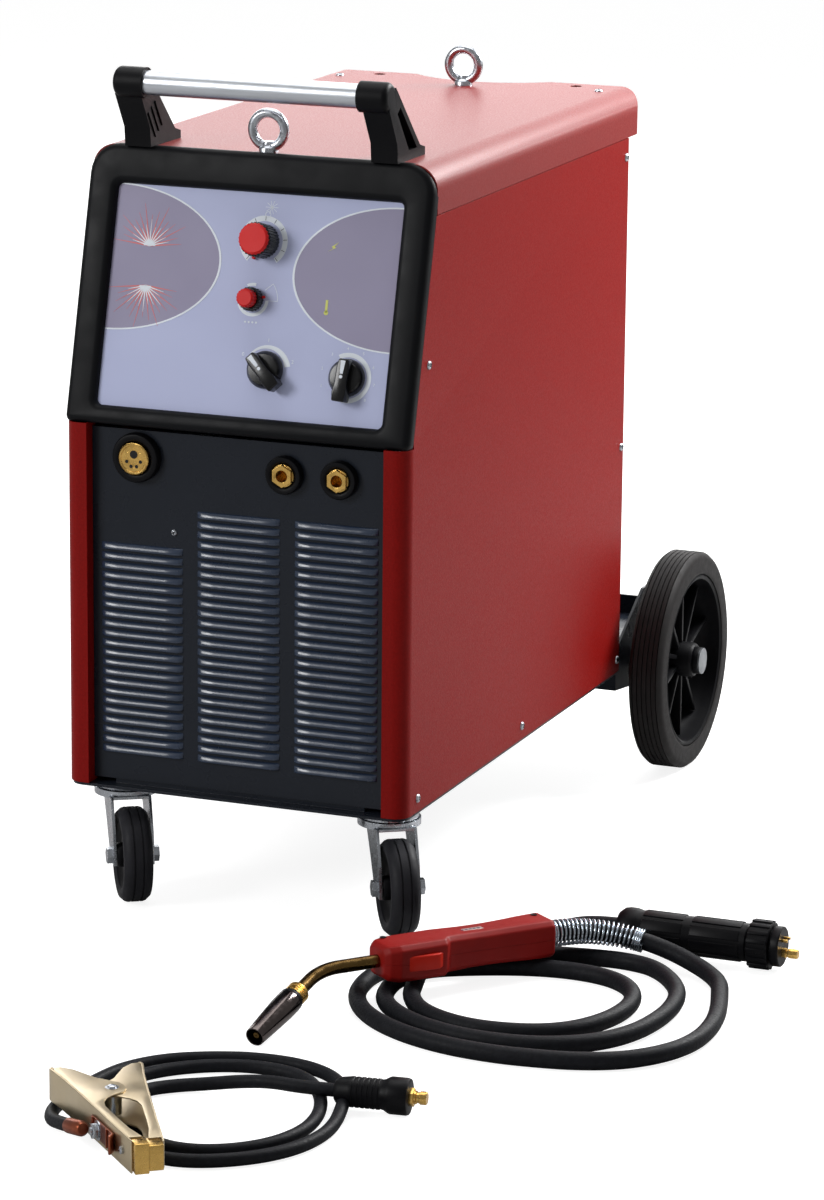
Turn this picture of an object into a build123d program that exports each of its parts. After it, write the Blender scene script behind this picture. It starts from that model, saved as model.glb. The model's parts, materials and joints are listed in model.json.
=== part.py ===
from build123d import *
import math
import os

# MIG welder on a wheeled cart, with its torch and earth clamp laid on the floor in front of it.
# Millimetres. The origin is on the floor, under the middle of the case's front face.
# +X is the machine's right seen from the front, +Y runs to the back, +Z is up.

# ---- case ----
CASE_W = 380.0
CASE_D = 660.0
CASE_Z0 = 128.5
STRIP_TOP_Z = 511.0
SEAM_Z = 738.5
CASE_TOP_Z = 789.0
FRONT_SLOPE = 0.26
SHEET = 1.5
STRIP_W = 26.0
STRIP_R = 17.0
PANEL_RECESS = 14.0
COVER_FRONT_Y = 76.0
COVER_REAR_Y = CASE_D + 44.0
COVER_EDGE_R = 26.0
COVER_CORNER_R = 20.0
COVER_LIP = 5.0
COVER_HOLE_R = 6.5
COVER_HOLE_X = 118.0
COVER_HOLE_Y = CASE_D + 24.0
BOTTLE_R = 114.5
SCOOP_Y = CASE_D + 11.0
TRAY_T = 3.0
TRAY_UPSTAND = 32.0
BULKHEAD_X = -33.0
FLUSH = 0.3

# ---- bezel and control plate ----
BEZEL_L = 290.0
BEZEL_T = 14.0
BEZEL_TOP_Z = 785.5
BEZEL_TOP_R = 32.0
BEZEL_LOW_R = 8.0
PLATE_W = 315.0
PLATE_H = 228.0
PLATE_LOW = 21.0
PLATE_DEPTH = 8.0
PLATE_T = 2.0
PLATE_LEDGE = 3.0
SHAFT_R = 3.0
SHAFT_FIT = 0.05
SHAFT_CLEAR = 1.0
SWITCH_GAP = 0.6

# ---- louvres and sockets ----
LOUVRE_W = 91.0
LOUVRE_PITCH = 10.3
LOUVRE_SLOT = 4.0
LOUVRE_LOW_Z = 163.0
LOUVRE_COUNTS = (22, 26, 26)
LOUVRE_XS = (-108.0, 0.0, 108.0)
EURO_X = -112.0
EURO_Z = 478.0
EURO_RING_R = 26.0
EURO_BODY_R = 17.0
DINSE_XS = (52.0, 112.0)
DINSE_Z = 474.0
DINSE_RING_R = 20.0
DINSE_BODY_R = 9.0

# ---- wheels ----
WHEEL_R = 125.0
WHEEL_W = 42.0
WHEEL_X = CASE_W / 2 + 41.0
WHEEL_Y = CASE_D + 92.6
RIM_R = 99.5
AXLE_R = 10.0
AXLE_FIT = 0.05
RUN_GAP = 0.5
SPOKES = 10
CASTER_R = 50.0
CASTER_W = 32.0
CASTER_X = 149.5
CASTER_Y = 60.0
CASTER_TRAIL = 45.0
CASTER_TURN = math.radians(-56.4)
CASTER_AXLE_R = 5.0
CASTER_PLATE = (84.0, 74.0, 3.0)
SWIVEL_PIN_R = 6.0

# ---- bottle tray ----
TRAY_END_Y = CASE_D + 220.0
BOTTLE_FLOOR_Z = 137.0
CHEEK_TOP_Z = 204.0

# ---- handle and lifting eyes ----
GRIP_R = 12.5
GRIP_Y = 50.0
GRIP_Z = 857.5
BRACKET_IN = 117.0
BRACKET_OUT = 150.0
BRACKET_FOOT = (68.0, 142.0)
BRACKET_BOSS_R = 15.8
EYE_YS = (90.0, CASE_D - 19.0)
EYE_RING_R = 17.5
EYE_WIRE_R = 5.0
EYE_COLLAR_R = 10.0
EYE_COLLAR_H = 6.0
EYE_THREAD_R = 5.0
EYE_THREAD_L = 12.0

# ---- door and wire feed ----
DOOR_Y = (150.0, 630.0)
DOOR_Z = (320.0, 715.0)
DOOR_GAP = 1.5
HINGE_R = 4.0
SPOOL_R = 150.0
SPOOL_W = 100.0
SPOOL_Y = 400.0
SPOOL_Z = 505.0
SPOOL_X = -112.0
SPOOL_BORE_R = 25.5
WIND_R = 118.0
SPOOL_FIT = 0.1
ROLL_R = 18.5
ROLL_W = 12.0
ROLL_Y = 120.0
PRESS_R = 15.0
WIRE_GAP = 0.8
FEED_SHAFT_R = 5.0
FEED_FIT = 0.05
ARM_PIN = (165.0, 510.0)
ARM_PIN_R = 4.0

# ---- rear inlets ----
INLET_X = -150.0
GLAND_Z = 250.0
NIPPLE_Z = 190.0

# ---- fan ----
FAN_X = 78.0
FAN_Z = 300.0
FAN_R = 84.0
FAN_SHAFT_R = 4.0
FAN_FIT = 0.05

# ---- torch ----
TORCH_FRONT = (236.0, -186.0, 41.0)
TORCH_REAR = (356.0, -32.0, 38.0)
TORCH_H = 38.0
TORCH_WALL = 3.0
NECK_REACH = 65.0
NOZZLE_TIP = (180.5, -361.0, 10.0)
NOZZLE_L = 85.0
NECK_R = 6.75
NECK_BEND = 70.0
NOZZLE_R = (10.5, 9.5)
NOZZLE_BORE_R = 7.8
COLLAR_L = 13.0
COLLAR_R = 10.0
TIP_R = 4.0
TRIGGER = (20.0, 62.0)
TRIGGER_PIN_R = 2.0
TRIGGER_FIT = 0.05

# ---- torch cable and its plug ----
FLOOR_GAP = 0.35
TORCH_CABLE_R = 8.85
TORCH_LEAD = [
    (356.0, -32.0, 38.0), (376.98, -5.07, 37.476), (405.2, 14.0, 32.5), (437.9, 23.4, 26.5),
    (469.9, 22.3, 19.0), (499.0, 11.7, 12.4), (522.6, -6.8, 9.4), (539.8, -31.4, 9.2),
    (549.1, -59.9, 9.2)]
TORCH_TAIL = [
    (403.0, 61.0, 25.35), (375.0, 61.0, 25.35), (346.0, 53.0, 19.5), (320.0, 33.0, 12.0),
    (301.0, 5.0, 9.2), (287.0, -27.0, 9.2)]
COIL_CENTRE = (393.0, -156.0)
COIL_OUT = (189.0, 168.0)
COIL_HOLE_CENTRE = (368.0, -150.0)
COIL_HOLE = (100.0, 91.0)
SLEEVE_R = 12.4
SLEEVE_BORE_R = 9.15
PLUG_R = 20.0
PLUG_END_X = 576.0
NUT_X = (543.0, 565.0)
NUT_R = 25.0
NUT_NECK_R = 17.0
NUT_FIT = 0.08

# ---- earth clamp, its cable and plug ----
EARTH_CABLE_R = 6.35
CLAMP_AT = (158.0, -634.0)
CLAMP_DIR = (0.613, -0.790)
CLAMP_Z0 = 13.8
CLAMP_W = 32.0
CLAMP_SHEET = 2.0
CLAMP_PLAY = 0.3
CLAMP_PIN_R = 4.0
CLAMP_PIN_FIT = 0.06
EARTH_LEAD = [
    (137.5, -677.8, 20.0), (115.0, -657.0, 13.0), (96.0, -635.0, 7.2), (85.5, -609.0, 6.7),
    (84.0, -581.0, 6.7), (90.0, -554.0, 6.7)]
EARTH_JOIN = [(90.0, -554.0, 6.7), (96.3, -525.65, 6.7), (109.0, -499.0, 6.7), (126.0, -476.0, 6.7)]
EARTH_COIL_CENTRE = (226.0, -549.0)
EARTH_COIL_OUT = (122.0, 148.0)
EARTH_HOLE_CENTRE = (230.0, -568.0)
EARTH_HOLE = (88.0, 71.0)
EARTH_PLUG_AT = (318.0, -490.6)
EARTH_PLUG_DIR = (0.9912, 0.1322)
EARTH_PLUG_L = 71.0
EARTH_PLUG_R = (14.5, 17.5)
EARTH_TAIL_RUNS = [(26.0, 0.0, 0.0), (51.0, 9.5, -5.6), (76.0, 25.0, -11.0), (103.0, 36.0, -11.0)]

HALF_W = CASE_W / 2
INNER_W = HALF_W - SHEET
TRAY_TOP_Z = CASE_Z0 - 0.5
LEAN = math.atan(FRONT_SLOPE)
FRONT_PLANE = Plane(origin=(0, 0, STRIP_TOP_Z), x_dir=(1, 0, 0), z_dir=(0, -math.cos(LEAN), math.sin(LEAN)))
KNOBS = {"wire_speed": (8.5, 200.0), "spot_timer": (3.0, 140.5), "main_switch": (25.0, 70.5),
         "voltage": (114.5, 69.5)}
CLAMP_Z = CLAMP_Z0 + CLAMP_W / 2
CLAMP_PLANE = Plane(origin=(*CLAMP_AT, CLAMP_Z), x_dir=(*CLAMP_DIR, 0), z_dir=(0, 0, 1))


# ---------------------------------------------------------------- helpers
def block(x0, x1, y0, y1, z0, z1):
    """A box between two corners."""
    return Pos((x0 + x1) / 2, (y0 + y1) / 2, (z0 + z1) / 2) * Box(abs(x1 - x0), abs(y1 - y0), abs(z1 - z0))


def rod(start, end, radius):
    """A round bar between two points."""
    a, b = Vector(*start), Vector(*end)
    plane = Plane(origin=a, z_dir=b - a)
    return plane * Cylinder(radius, (b - a).length, align=(Align.CENTER, Align.CENTER, Align.MIN))


def cone(start, end, r0, r1):
    """A tapered bar between two points."""
    a, b = Vector(*start), Vector(*end)
    plane = Plane(origin=a, z_dir=b - a)
    return plane * Cone(r0, r1, (b - a).length, align=(Align.CENTER, Align.CENTER, Align.MIN))


def side_prism(points, x0, x1):
    """A (y, z) outline extruded along X."""
    face = make_face(Polyline([(x0, y, z) for y, z in points], close=True))
    return extrude(face, amount=x1 - x0, dir=(1, 0, 0))


def fused(*solids):
    """The union of the given shapes as one solid."""
    whole = solids[0]
    for item in solids[1:]:
        whole = whole + item
    return whole


def bend_radii(points):
    """The largest tangent arc at each corner that leaves a tenth of its shorter run straight."""
    pts = [Vector(*p) for p in points]
    radii = []
    for a, b, c in zip(pts, pts[1:], pts[2:]):
        half_turn = math.radians((b - a).get_angle(c - b)) / 2
        radii.append(0.45 * min((b - a).length, (c - b).length) / math.tan(half_turn))
    return radii


def route(points):
    """Straight runs joined by tangent arcs."""
    return FilletPolyline(*points, radius=bend_radii(points))


def tube(path, radius):
    """A solid round cord along a path."""
    return sweep(Plane(origin=path @ 0, z_dir=path % 0) * Circle(radius), path=path)


def report_cord(name, points, radius):
    """Print a cord's length and bend radii, and its volume against section times length."""
    path = route(points)
    solid = tube(path, radius)
    bends = ", ".join(f"{r:.0f}" for r in bend_radii(points))
    ratio = solid.volume / (math.pi * radius ** 2 * path.length)
    print(f"{name}: length {path.length:.0f}, bend radii {bends}, volume ratio {ratio:.4f}")


def save(name, *solids):
    """Write one node, made of one or more separate solids."""
    flat = [s for item in solids for s in item.solids()]
    shape = flat[0] if len(flat) == 1 else Compound(children=flat)
    export_step(shape, f"parts/{name}.step")


def slope_y(z, depth=0.0):
    """How far back the leaning front stands at a height, measured a depth behind its face."""
    return FRONT_SLOPE * (z - STRIP_TOP_Z) + depth / math.cos(LEAN)


def on_front(x, along, depth=0.0):
    """A plane on the leaning front: its Z axis points out of the face."""
    return FRONT_PLANE * Pos(x, along, -depth)


# ---------------------------------------------------------------- case
def base_tray():
    floor = block(-INNER_W, INNER_W, 2.0, CASE_D, TRAY_TOP_Z - TRAY_T, TRAY_TOP_Z)
    front = block(-140.0, 140.0, PANEL_RECESS + SHEET, PANEL_RECESS + SHEET + TRAY_T, TRAY_TOP_Z,
                  TRAY_TOP_Z + TRAY_UPSTAND)
    tray = floor + front
    for side in (-1, 1):
        tray += block(side * (INNER_W - TRAY_T), side * INNER_W, STRIP_R + 2, CASE_D - 25, TRAY_TOP_Z,
                      TRAY_TOP_Z + TRAY_UPSTAND)
    return tray


def bottle_tray():
    x_out = INNER_W - 2.5
    floor = block(-x_out, x_out, CASE_D, TRAY_END_Y, BOTTLE_FLOOR_Z, BOTTLE_FLOOR_Z + TRAY_T)
    front = block(-x_out, x_out, CASE_D, CASE_D + TRAY_T, 104.0, BOTTLE_FLOOR_Z + TRAY_T)
    lip = block(-x_out, x_out, TRAY_END_Y - TRAY_T, TRAY_END_Y, BOTTLE_FLOOR_Z, BOTTLE_FLOOR_Z + 25.0)
    tray = floor + front + lip
    cheek = [(CASE_D, 104.0), (WHEEL_Y - 30, 96.0), (WHEEL_Y + 30, 96.0), (TRAY_END_Y, 125.0),
             (TRAY_END_Y, CHEEK_TOP_Z - 20), (TRAY_END_Y - 25, CHEEK_TOP_Z), (WHEEL_Y, CHEEK_TOP_Z),
             (CASE_D, 150.0)]
    for side in (-1, 1):
        tray += side_prism(cheek, side * x_out, side * (x_out - TRAY_T))
    return tray - rod((-HALF_W, WHEEL_Y, WHEEL_R), (HALF_W, WHEEL_Y, WHEEL_R), AXLE_R + AXLE_FIT)


def front_corner(solid, side):
    """The upright edge at a block's front outer corner."""
    upright = solid.edges().filter_by(Axis.Z)
    return [e for e in upright if e.center().Y < STRIP_R / 2 and abs(e.center().X) > HALF_W - STRIP_R]


def side_panel(side):
    sheet = side_prism([(STRIP_R, CASE_Z0), (CASE_D, CASE_Z0), (CASE_D, SEAM_Z),
                        (slope_y(SEAM_Z, BEZEL_T) + FLUSH, SEAM_Z),
                        (slope_y(STRIP_TOP_Z + 10, BEZEL_T) + FLUSH, STRIP_TOP_Z + 10),
                        (STRIP_R, STRIP_TOP_Z + 10)], side * HALF_W, side * INNER_W)
    outer = block(side * (HALF_W - STRIP_W), side * HALF_W, 0, STRIP_R + 4, CASE_Z0, STRIP_TOP_Z)
    outer = fillet(front_corner(outer, side), STRIP_R)
    inner = block(side * (HALF_W - STRIP_W + SHEET), side * INNER_W, SHEET, STRIP_R + 9, CASE_Z0 - 5,
                  STRIP_TOP_Z + 5)
    inner = fillet(front_corner(inner, side), STRIP_R - SHEET)
    lip = block(side * INNER_W, side * (INNER_W - SHEET), 120.0, CASE_D - 30, SEAM_Z - 20, SEAM_Z + 22)
    return fused(sheet, outer - inner, lip)


def door_opening():
    return block(-HALF_W - 5, -INNER_W + 5, DOOR_Y[0], DOOR_Y[1], DOOR_Z[0], DOOR_Z[1])


def cover_body(inset, y0, y1, z0):
    """The cover's outer form drawn in by a wall: rounded long edges, rounded rear corners and a scoop."""
    half, top = HALF_W - inset, CASE_TOP_Z - inset
    section = block(-half, half, y0, y1 + 10, z0 - 60, top)
    long_edges = section.edges().filter_by(Axis.Y).sort_by(Axis.Z)[-2:]
    section = fillet(long_edges, COVER_EDGE_R - inset)
    plan = block(-half, half, y0, y1 - inset, z0, top + 10)
    rear_edges = plan.edges().filter_by(Axis.Z).sort_by(Axis.Y)[-2:]
    plan = fillet(rear_edges, COVER_CORNER_R - inset)
    scoop = Pos(0, SCOOP_Y + BOTTLE_R, CASE_TOP_Z) * Cylinder(BOTTLE_R + inset, 400)
    return (section & plan) - scoop


def top_cover():
    shell = cover_body(0, COVER_FRONT_Y, COVER_REAR_Y, SEAM_Z + 0.8)
    shell -= cover_body(SHEET, COVER_FRONT_Y + SHEET, COVER_REAR_Y, SEAM_Z - 5)
    shell -= cover_body(COVER_LIP, COVER_FRONT_Y - 5, COVER_FRONT_Y + 20, SEAM_Z - 5)
    for y in EYE_YS:
        shell -= Pos(0, y, CASE_TOP_Z) * Cylinder(EYE_THREAD_R + 0.3, 20)
    for side in (-1, 1):
        shell -= Pos(side * COVER_HOLE_X, COVER_HOLE_Y, CASE_TOP_Z) * Cylinder(COVER_HOLE_R, 20)
    return shell


def front_panel():
    half = HALF_W - STRIP_W - FLUSH
    y0, y1 = PANEL_RECESS, PANEL_RECESS + SHEET
    panel = block(-half, half, y0, y1, 133.0, STRIP_TOP_Z - 5)
    panel += block(-half, half, y0, y1 + 24, STRIP_TOP_Z - 5 - SHEET, STRIP_TOP_Z - 5)
    for side in (-1, 1):
        panel += block(side * half, side * (half - SHEET), y0, y1 + 14, 165.0, STRIP_TOP_Z - 5)
    for x, count in zip(LOUVRE_XS, LOUVRE_COUNTS):
        for i in range(count):
            z = LOUVRE_LOW_Z + i * LOUVRE_PITCH
            panel -= block(x - LOUVRE_W / 2, x + LOUVRE_W / 2, y0 - 1, y1 + 1, z, z + LOUVRE_SLOT)
    panel -= rod((EURO_X, 0, EURO_Z), (EURO_X, 40, EURO_Z), EURO_BODY_R + 1.0)
    for x in DINSE_XS:
        panel -= rod((x, 0, DINSE_Z), (x, 40, DINSE_Z), DINSE_BODY_R + 4.0)
    return panel


def front_bezel():
    outline = Rectangle(CASE_W, BEZEL_L, align=(Align.CENTER, Align.MIN))
    low, high = outline.vertices().sort_by(Axis.Y)[:2], outline.vertices().sort_by(Axis.Y)[2:]
    outline = fillet(low, BEZEL_LOW_R)
    high = outline.vertices().sort_by(Axis.Y)[-2:]
    outline = fillet(high, BEZEL_TOP_R)
    solid = on_front(0, 0, BEZEL_T) * extrude(outline, BEZEL_T)
    mid = PLATE_LOW + PLATE_H / 2
    solid -= on_front(0, mid, PLATE_DEPTH / 2) * Box(PLATE_W, PLATE_H, PLATE_DEPTH + 2)
    rabbet = BEZEL_T - PLATE_DEPTH
    solid -= on_front(0, mid, PLATE_DEPTH + rabbet / 2) * Box(PLATE_W + 2 * PLATE_LEDGE, PLATE_H + 2 * PLATE_LEDGE,
                                                              rabbet + 0.01)
    solid -= block(-HALF_W - 5, HALF_W + 5, -50, 300, STRIP_TOP_Z - 50, STRIP_TOP_Z + FLUSH)
    solid -= block(-HALF_W - 5, HALF_W + 5, -50, 300, BEZEL_TOP_Z, 900)
    solid -= block(-HALF_W - 5, HALF_W + 5, COVER_FRONT_Y - FLUSH, 300, SEAM_Z + FLUSH, 900)
    return solid


def control_plate():
    mid = PLATE_LOW + PLATE_H / 2
    play = 2 * PLATE_LEDGE - 0.4
    plate = on_front(0, mid, PLATE_DEPTH + PLATE_T / 2) * Box(PLATE_W + play, PLATE_H + play, PLATE_T)
    for x, along in KNOBS.values():
        plate -= on_front(x, along, PLATE_DEPTH) * Cylinder(SHAFT_R + SHAFT_CLEAR, 10)
    return plate


def rear_panel():
    y0 = CASE_D - SHEET
    panel = block(-INNER_W, INNER_W, y0, CASE_D, TRAY_TOP_Z, CASE_TOP_Z - 28)
    panel += block(-160.0, 160.0, y0, CASE_D, CASE_TOP_Z - 28, CASE_TOP_Z - SHEET)
    for side in (-1, 1):
        panel += block(side * INNER_W, side * (INNER_W - SHEET), CASE_D - 22, CASE_D, TRAY_TOP_Z + 2, SEAM_Z - 25)
    for i in range(15):
        z = FAN_Z - 77 + i * 11
        reach = math.sqrt(FAN_R ** 2 - (z + 2 - FAN_Z) ** 2)
        panel -= block(FAN_X - reach, FAN_X + reach, y0 - 1, CASE_D + 1, z, z + 5)
    panel -= rod((INLET_X, y0 - 1, GLAND_Z), (INLET_X, CASE_D + 1, GLAND_Z), 10.2)
    panel -= rod((INLET_X, y0 - 1, NIPPLE_Z), (INLET_X, CASE_D + 1, NIPPLE_Z), 5.2)
    return panel


def centre_bulkhead():
    """The lengthwise wall that carries the lifting eyes, the wire feed and the spool's pin."""
    x0, x1 = BULKHEAD_X, BULKHEAD_X + 2.0
    wall = side_prism([(40, TRAY_TOP_Z), (CASE_D - SHEET, TRAY_TOP_Z), (CASE_D - SHEET, CASE_TOP_Z - SHEET),
                       (80, CASE_TOP_Z - SHEET), (80, SEAM_Z - 40), (40, 520)], x0, x1)
    wall += block(x0, 24, 80, CASE_D - SHEET, CASE_TOP_Z - SHEET - 3, CASE_TOP_Z - SHEET)
    wall += block(x0, 10, 40, CASE_D - SHEET, TRAY_TOP_Z, TRAY_TOP_Z + 2)
    for y in EYE_YS:
        wall -= Pos(0, y, CASE_TOP_Z) * Cylinder(EYE_THREAD_R + 0.05, 40)
    pin_end = SPOOL_X - SPOOL_W / 2 - 8
    wall += rod((x0, SPOOL_Y, SPOOL_Z), (pin_end, SPOOL_Y, SPOOL_Z), SPOOL_BORE_R - 5)
    wall += rod((x0, SPOOL_Y, SPOOL_Z), (SPOOL_X + SPOOL_W / 2 + RUN_GAP, SPOOL_Y, SPOOL_Z), SPOOL_BORE_R + 6)
    return wall


# ---------------------------------------------------------------- handle, eyes and screws
def handle_bracket(side):
    y0, y1 = BRACKET_FOOT
    leg = side_prism([(y0, CASE_TOP_Z), (y1, CASE_TOP_Z), (y1, CASE_TOP_Z + 8), (y1 - 14, CASE_TOP_Z + 12),
                      (GRIP_Y + 12, GRIP_Z + 9), (GRIP_Y - 6, GRIP_Z - 12), (y0 - 2, CASE_TOP_Z + 20)],
                     side * (BRACKET_IN + 4), side * BRACKET_OUT)
    pocket = side_prism([(y0 + 30, CASE_TOP_Z + 10), (y1 - 22, CASE_TOP_Z + 10), (GRIP_Y + 24, GRIP_Z - 12),
                         (GRIP_Y + 16, GRIP_Z - 18)], side * (BRACKET_IN + 10), side * (BRACKET_OUT + 1))
    boss = rod((side * BRACKET_IN, GRIP_Y, GRIP_Z), (side * BRACKET_OUT, GRIP_Y, GRIP_Z), BRACKET_BOSS_R)
    boss = fillet(boss.edges().sort_by(Axis.X)[-1 if side > 0 else 0], 6)
    socket = rod((side * BRACKET_IN, GRIP_Y, GRIP_Z), (side * (BRACKET_OUT - 6), GRIP_Y, GRIP_Z), GRIP_R)
    return leg - pocket + boss - socket


def grip():
    reach = BRACKET_OUT - 8
    outer = rod((-reach, GRIP_Y, GRIP_Z), (reach, GRIP_Y, GRIP_Z), GRIP_R)
    return outer - rod((-reach - 1, GRIP_Y, GRIP_Z), (reach + 1, GRIP_Y, GRIP_Z), GRIP_R - 1.5)


def lifting_eye(y):
    ring_z = CASE_TOP_Z + EYE_COLLAR_H + EYE_RING_R - 1
    ring = Pos(0, y, ring_z) * Rot(90, 0, 0) * Torus(EYE_RING_R, EYE_WIRE_R)
    collar = rod((0, y, CASE_TOP_Z), (0, y, CASE_TOP_Z + EYE_COLLAR_H), EYE_COLLAR_R)
    return ring + collar + rod((0, y, CASE_TOP_Z - EYE_THREAD_L), (0, y, CASE_TOP_Z + 1), EYE_THREAD_R)


def screws():
    """Round-head screws on both sides, on the cover and on the front panel."""
    heads = []
    spots = [(56, 590), (342, 143), (652, 143), (36, 143), (652, 718), (652, 390)]
    for side in (-1, 1):
        for y, z in spots:
            heads.append(rod((side * HALF_W, y, z), (side * (HALF_W + 2.6), y, z), 4.6))
        heads.append(rod((side * 155, 655, CASE_TOP_Z), (side * 155, 655, CASE_TOP_Z + 2.6), 4.6))
    heads.append(rod((-72, PANEL_RECESS, 402), (-72, PANEL_RECESS - 2.2, 402), 3.6))
    return heads


# ---------------------------------------------------------------- sockets
def socket_rings():
    rings = []
    face = PANEL_RECESS
    ring = rod((EURO_X, face, EURO_Z), (EURO_X, face - 10, EURO_Z), EURO_RING_R)
    ring -= rod((EURO_X, face + 1, EURO_Z), (EURO_X, face - 11, EURO_Z), EURO_BODY_R)
    rings.append(ring)
    for x in DINSE_XS:
        ring = rod((x, face, DINSE_Z), (x, face - 9, DINSE_Z), DINSE_RING_R)
        ring -= rod((x, face + 1, DINSE_Z), (x, face - 10, DINSE_Z), DINSE_BODY_R + 3)
        rings.append(ring)
    return rings


def socket_contacts():
    contacts = []
    face = PANEL_RECESS - 12
    body = rod((EURO_X, face, EURO_Z), (EURO_X, 72, EURO_Z), EURO_BODY_R - 0.2)
    body -= rod((EURO_X, face - 1, EURO_Z - 4), (EURO_X, face + 30, EURO_Z - 4), 5.5)
    for dx, dz in ((-7, 8), (0, 10), (7, 8)):
        body -= rod((EURO_X + dx, face - 1, EURO_Z + dz), (EURO_X + dx, face + 20, EURO_Z + dz), 1.6)
    contacts.append(body)
    for x in DINSE_XS:
        body = rod((x, face + 4, DINSE_Z), (x, 50, DINSE_Z), DINSE_BODY_R + 2.8)
        hole = rod((x, face - 1, DINSE_Z), (x, face + 28, DINSE_Z), 6.2)
        hexagon = Plane(origin=(x, face + 4, DINSE_Z), z_dir=(0, -1, 0)) * extrude(RegularPolygon(11.8, 6), 3.5)
        contacts.append(body + hexagon - hole)
    return contacts


# ---------------------------------------------------------------- electrics
def transformer():
    x0, x1, y0, z0 = 60.0, 130.0, 300.0, TRAY_TOP_Z
    core = block(x0, x1, y0, y0 + 220, z0, z0 + 180)
    for i in range(2):
        core -= block(x0 - 1, x1 + 1, y0 + 40 + i * 90, y0 + 90 + i * 90, z0 + 35, z0 + 145)
    coils = []
    for i in range(3):
        y = y0 + 20 + i * 90
        leg_w = 40.0
        coil = block(x0 - 24, x1 + 24, y - leg_w / 2 - 22, y + leg_w / 2 + 22, z0 + 38, z0 + 142)
        coil = fillet(coil.edges().filter_by(Axis.Z), 14)
        coils.append(coil - block(x0 - 0.5, x1 + 0.5, y - leg_w / 2 - 0.5, y + leg_w / 2 + 0.5, z0, z0 + 160))
    return [core] + coils


def rectifier_stack():
    x0 = BULKHEAD_X + 2.0
    base = block(x0, x0 + 8, 330, 480, 420, 520)
    for i in range(12):
        base += block(x0 + 8, x0 + 60, 334 + i * 12, 337 + i * 12, 420, 520)
    return base


def control_board():
    x0 = BULKHEAD_X + 2.0
    board = block(x0 + 8, x0 + 10, 150, 300, 560, 720)
    for y, z in ((160, 570), (160, 710), (290, 570), (290, 710)):
        board += rod((x0, y, z), (x0 + 8, y, z), 4)
    board += block(x0 + 10, x0 + 34, 180, 230, 600, 660)
    solids = [board]
    depth = PLATE_DEPTH + PLATE_T
    for name, (x, along) in KNOBS.items():
        side, deep = (26.0, 14.0) if name in ("wire_speed", "spot_timer") else (50.0, 60.0)
        body = on_front(x, along, depth + deep / 2) * Box(side, side, deep)
        solids.append(body - on_front(x, along, depth) * Cylinder(SHAFT_R + SHAFT_FIT, 40))
    return solids


def fan_frame():
    y1 = CASE_D - SHEET
    frame = block(FAN_X - 92, FAN_X + 92, y1 - 38, y1, FAN_Z - 92, FAN_Z + 92)
    frame -= rod((FAN_X, y1 - 60, FAN_Z), (FAN_X, y1 + 1, FAN_Z), FAN_R + 3)
    frame += rod((FAN_X, y1 - 12, FAN_Z), (FAN_X, y1, FAN_Z), 28)
    for turn in (45, 135):
        bar = Pos(FAN_X, y1 - 3, FAN_Z) * Rot(0, turn, 0) * Box(2 * FAN_R + 8, 6, 9)
        frame += bar
    frame += rod((FAN_X, y1 - 36, FAN_Z), (FAN_X, y1 - 6, FAN_Z), FAN_SHAFT_R)
    return frame


def fan_blades():
    y1 = CASE_D - SHEET
    hub = rod((FAN_X, y1 - 34, FAN_Z), (FAN_X, y1 - 13, FAN_Z), 26)
    for i in range(7):
        blade = Pos(FAN_R / 2 + 9, 0, 0) * Rot(32, 0, 0) * Box(FAN_R - 20, 1.8, 34)
        hub += Pos(FAN_X, y1 - 24, FAN_Z) * Rot(0, i * 360 / 7, 0) * blade
    return hub - rod((FAN_X, y1 - 40, FAN_Z), (FAN_X, y1, FAN_Z), FAN_SHAFT_R + FAN_FIT)


def rear_inlets():
    y = CASE_D
    x, z = INLET_X, GLAND_Z
    gland = rod((x, y - 8, z), (x, y, z), 10.0)
    gland += rod((x, y, z), (x, y + 7, z), 15)
    gland += cone((x, y + 7, z), (x, y + 24, z), 13.5, 9)
    gland -= rod((x, y - 10, z), (x, y + 30, z), 6)
    z = NIPPLE_Z
    nipple = rod((x, y - 8, z), (x, y + 22, z), 5.0)
    nipple += rod((x, y, z), (x, y + 5, z), 9)
    nipple -= rod((x, y - 10, z), (x, y + 30, z), 2.5)
    return [gland, nipple]


# ---------------------------------------------------------------- door
def side_door():
    gap = DOOR_GAP
    y0, y1, z0, z1 = DOOR_Y[0] + gap, DOOR_Y[1] - gap, DOOR_Z[0] + gap, DOOR_Z[1] - gap
    leaf = block(-HALF_W, -INNER_W, y0, y1, z0, z1)
    rim = 12.0
    for ya, yb, za, zb in ((y0, y0 + SHEET, z0, z1), (y1 - SHEET, y1, z0, z1), (y0, y1, z0, z0 + SHEET),
                           (y0, y1, z1 - SHEET, z1)):
        leaf += block(-INNER_W, -INNER_W + rim, ya, yb, za, zb)
    for z in (z0 + 60, z1 - 60):
        knuckle = rod((-HALF_W - HINGE_R, y1 - 4, z - 15), (-HALF_W - HINGE_R, y1 - 4, z + 15), HINGE_R)
        knuckle += block(-HALF_W - 2, -HALF_W, y1 - 26, y1 - 4, z - 15, z + 15)
        leaf += knuckle - rod((-HALF_W - HINGE_R, y1 - 4, z - 20), (-HALF_W - HINGE_R, y1 - 4, z + 20), 1.6)
    hole_z = (z0 + z1) / 2
    leaf -= block(-INNER_W, -INNER_W + rim + 1, y0 - 1, y0 + SHEET + 1, hole_z - 28, hole_z + 12)
    return leaf - rod((-HALF_W - 5, y0 + 22, hole_z), (-HALF_W + 10, y0 + 22, hole_z), 5.0)


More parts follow.
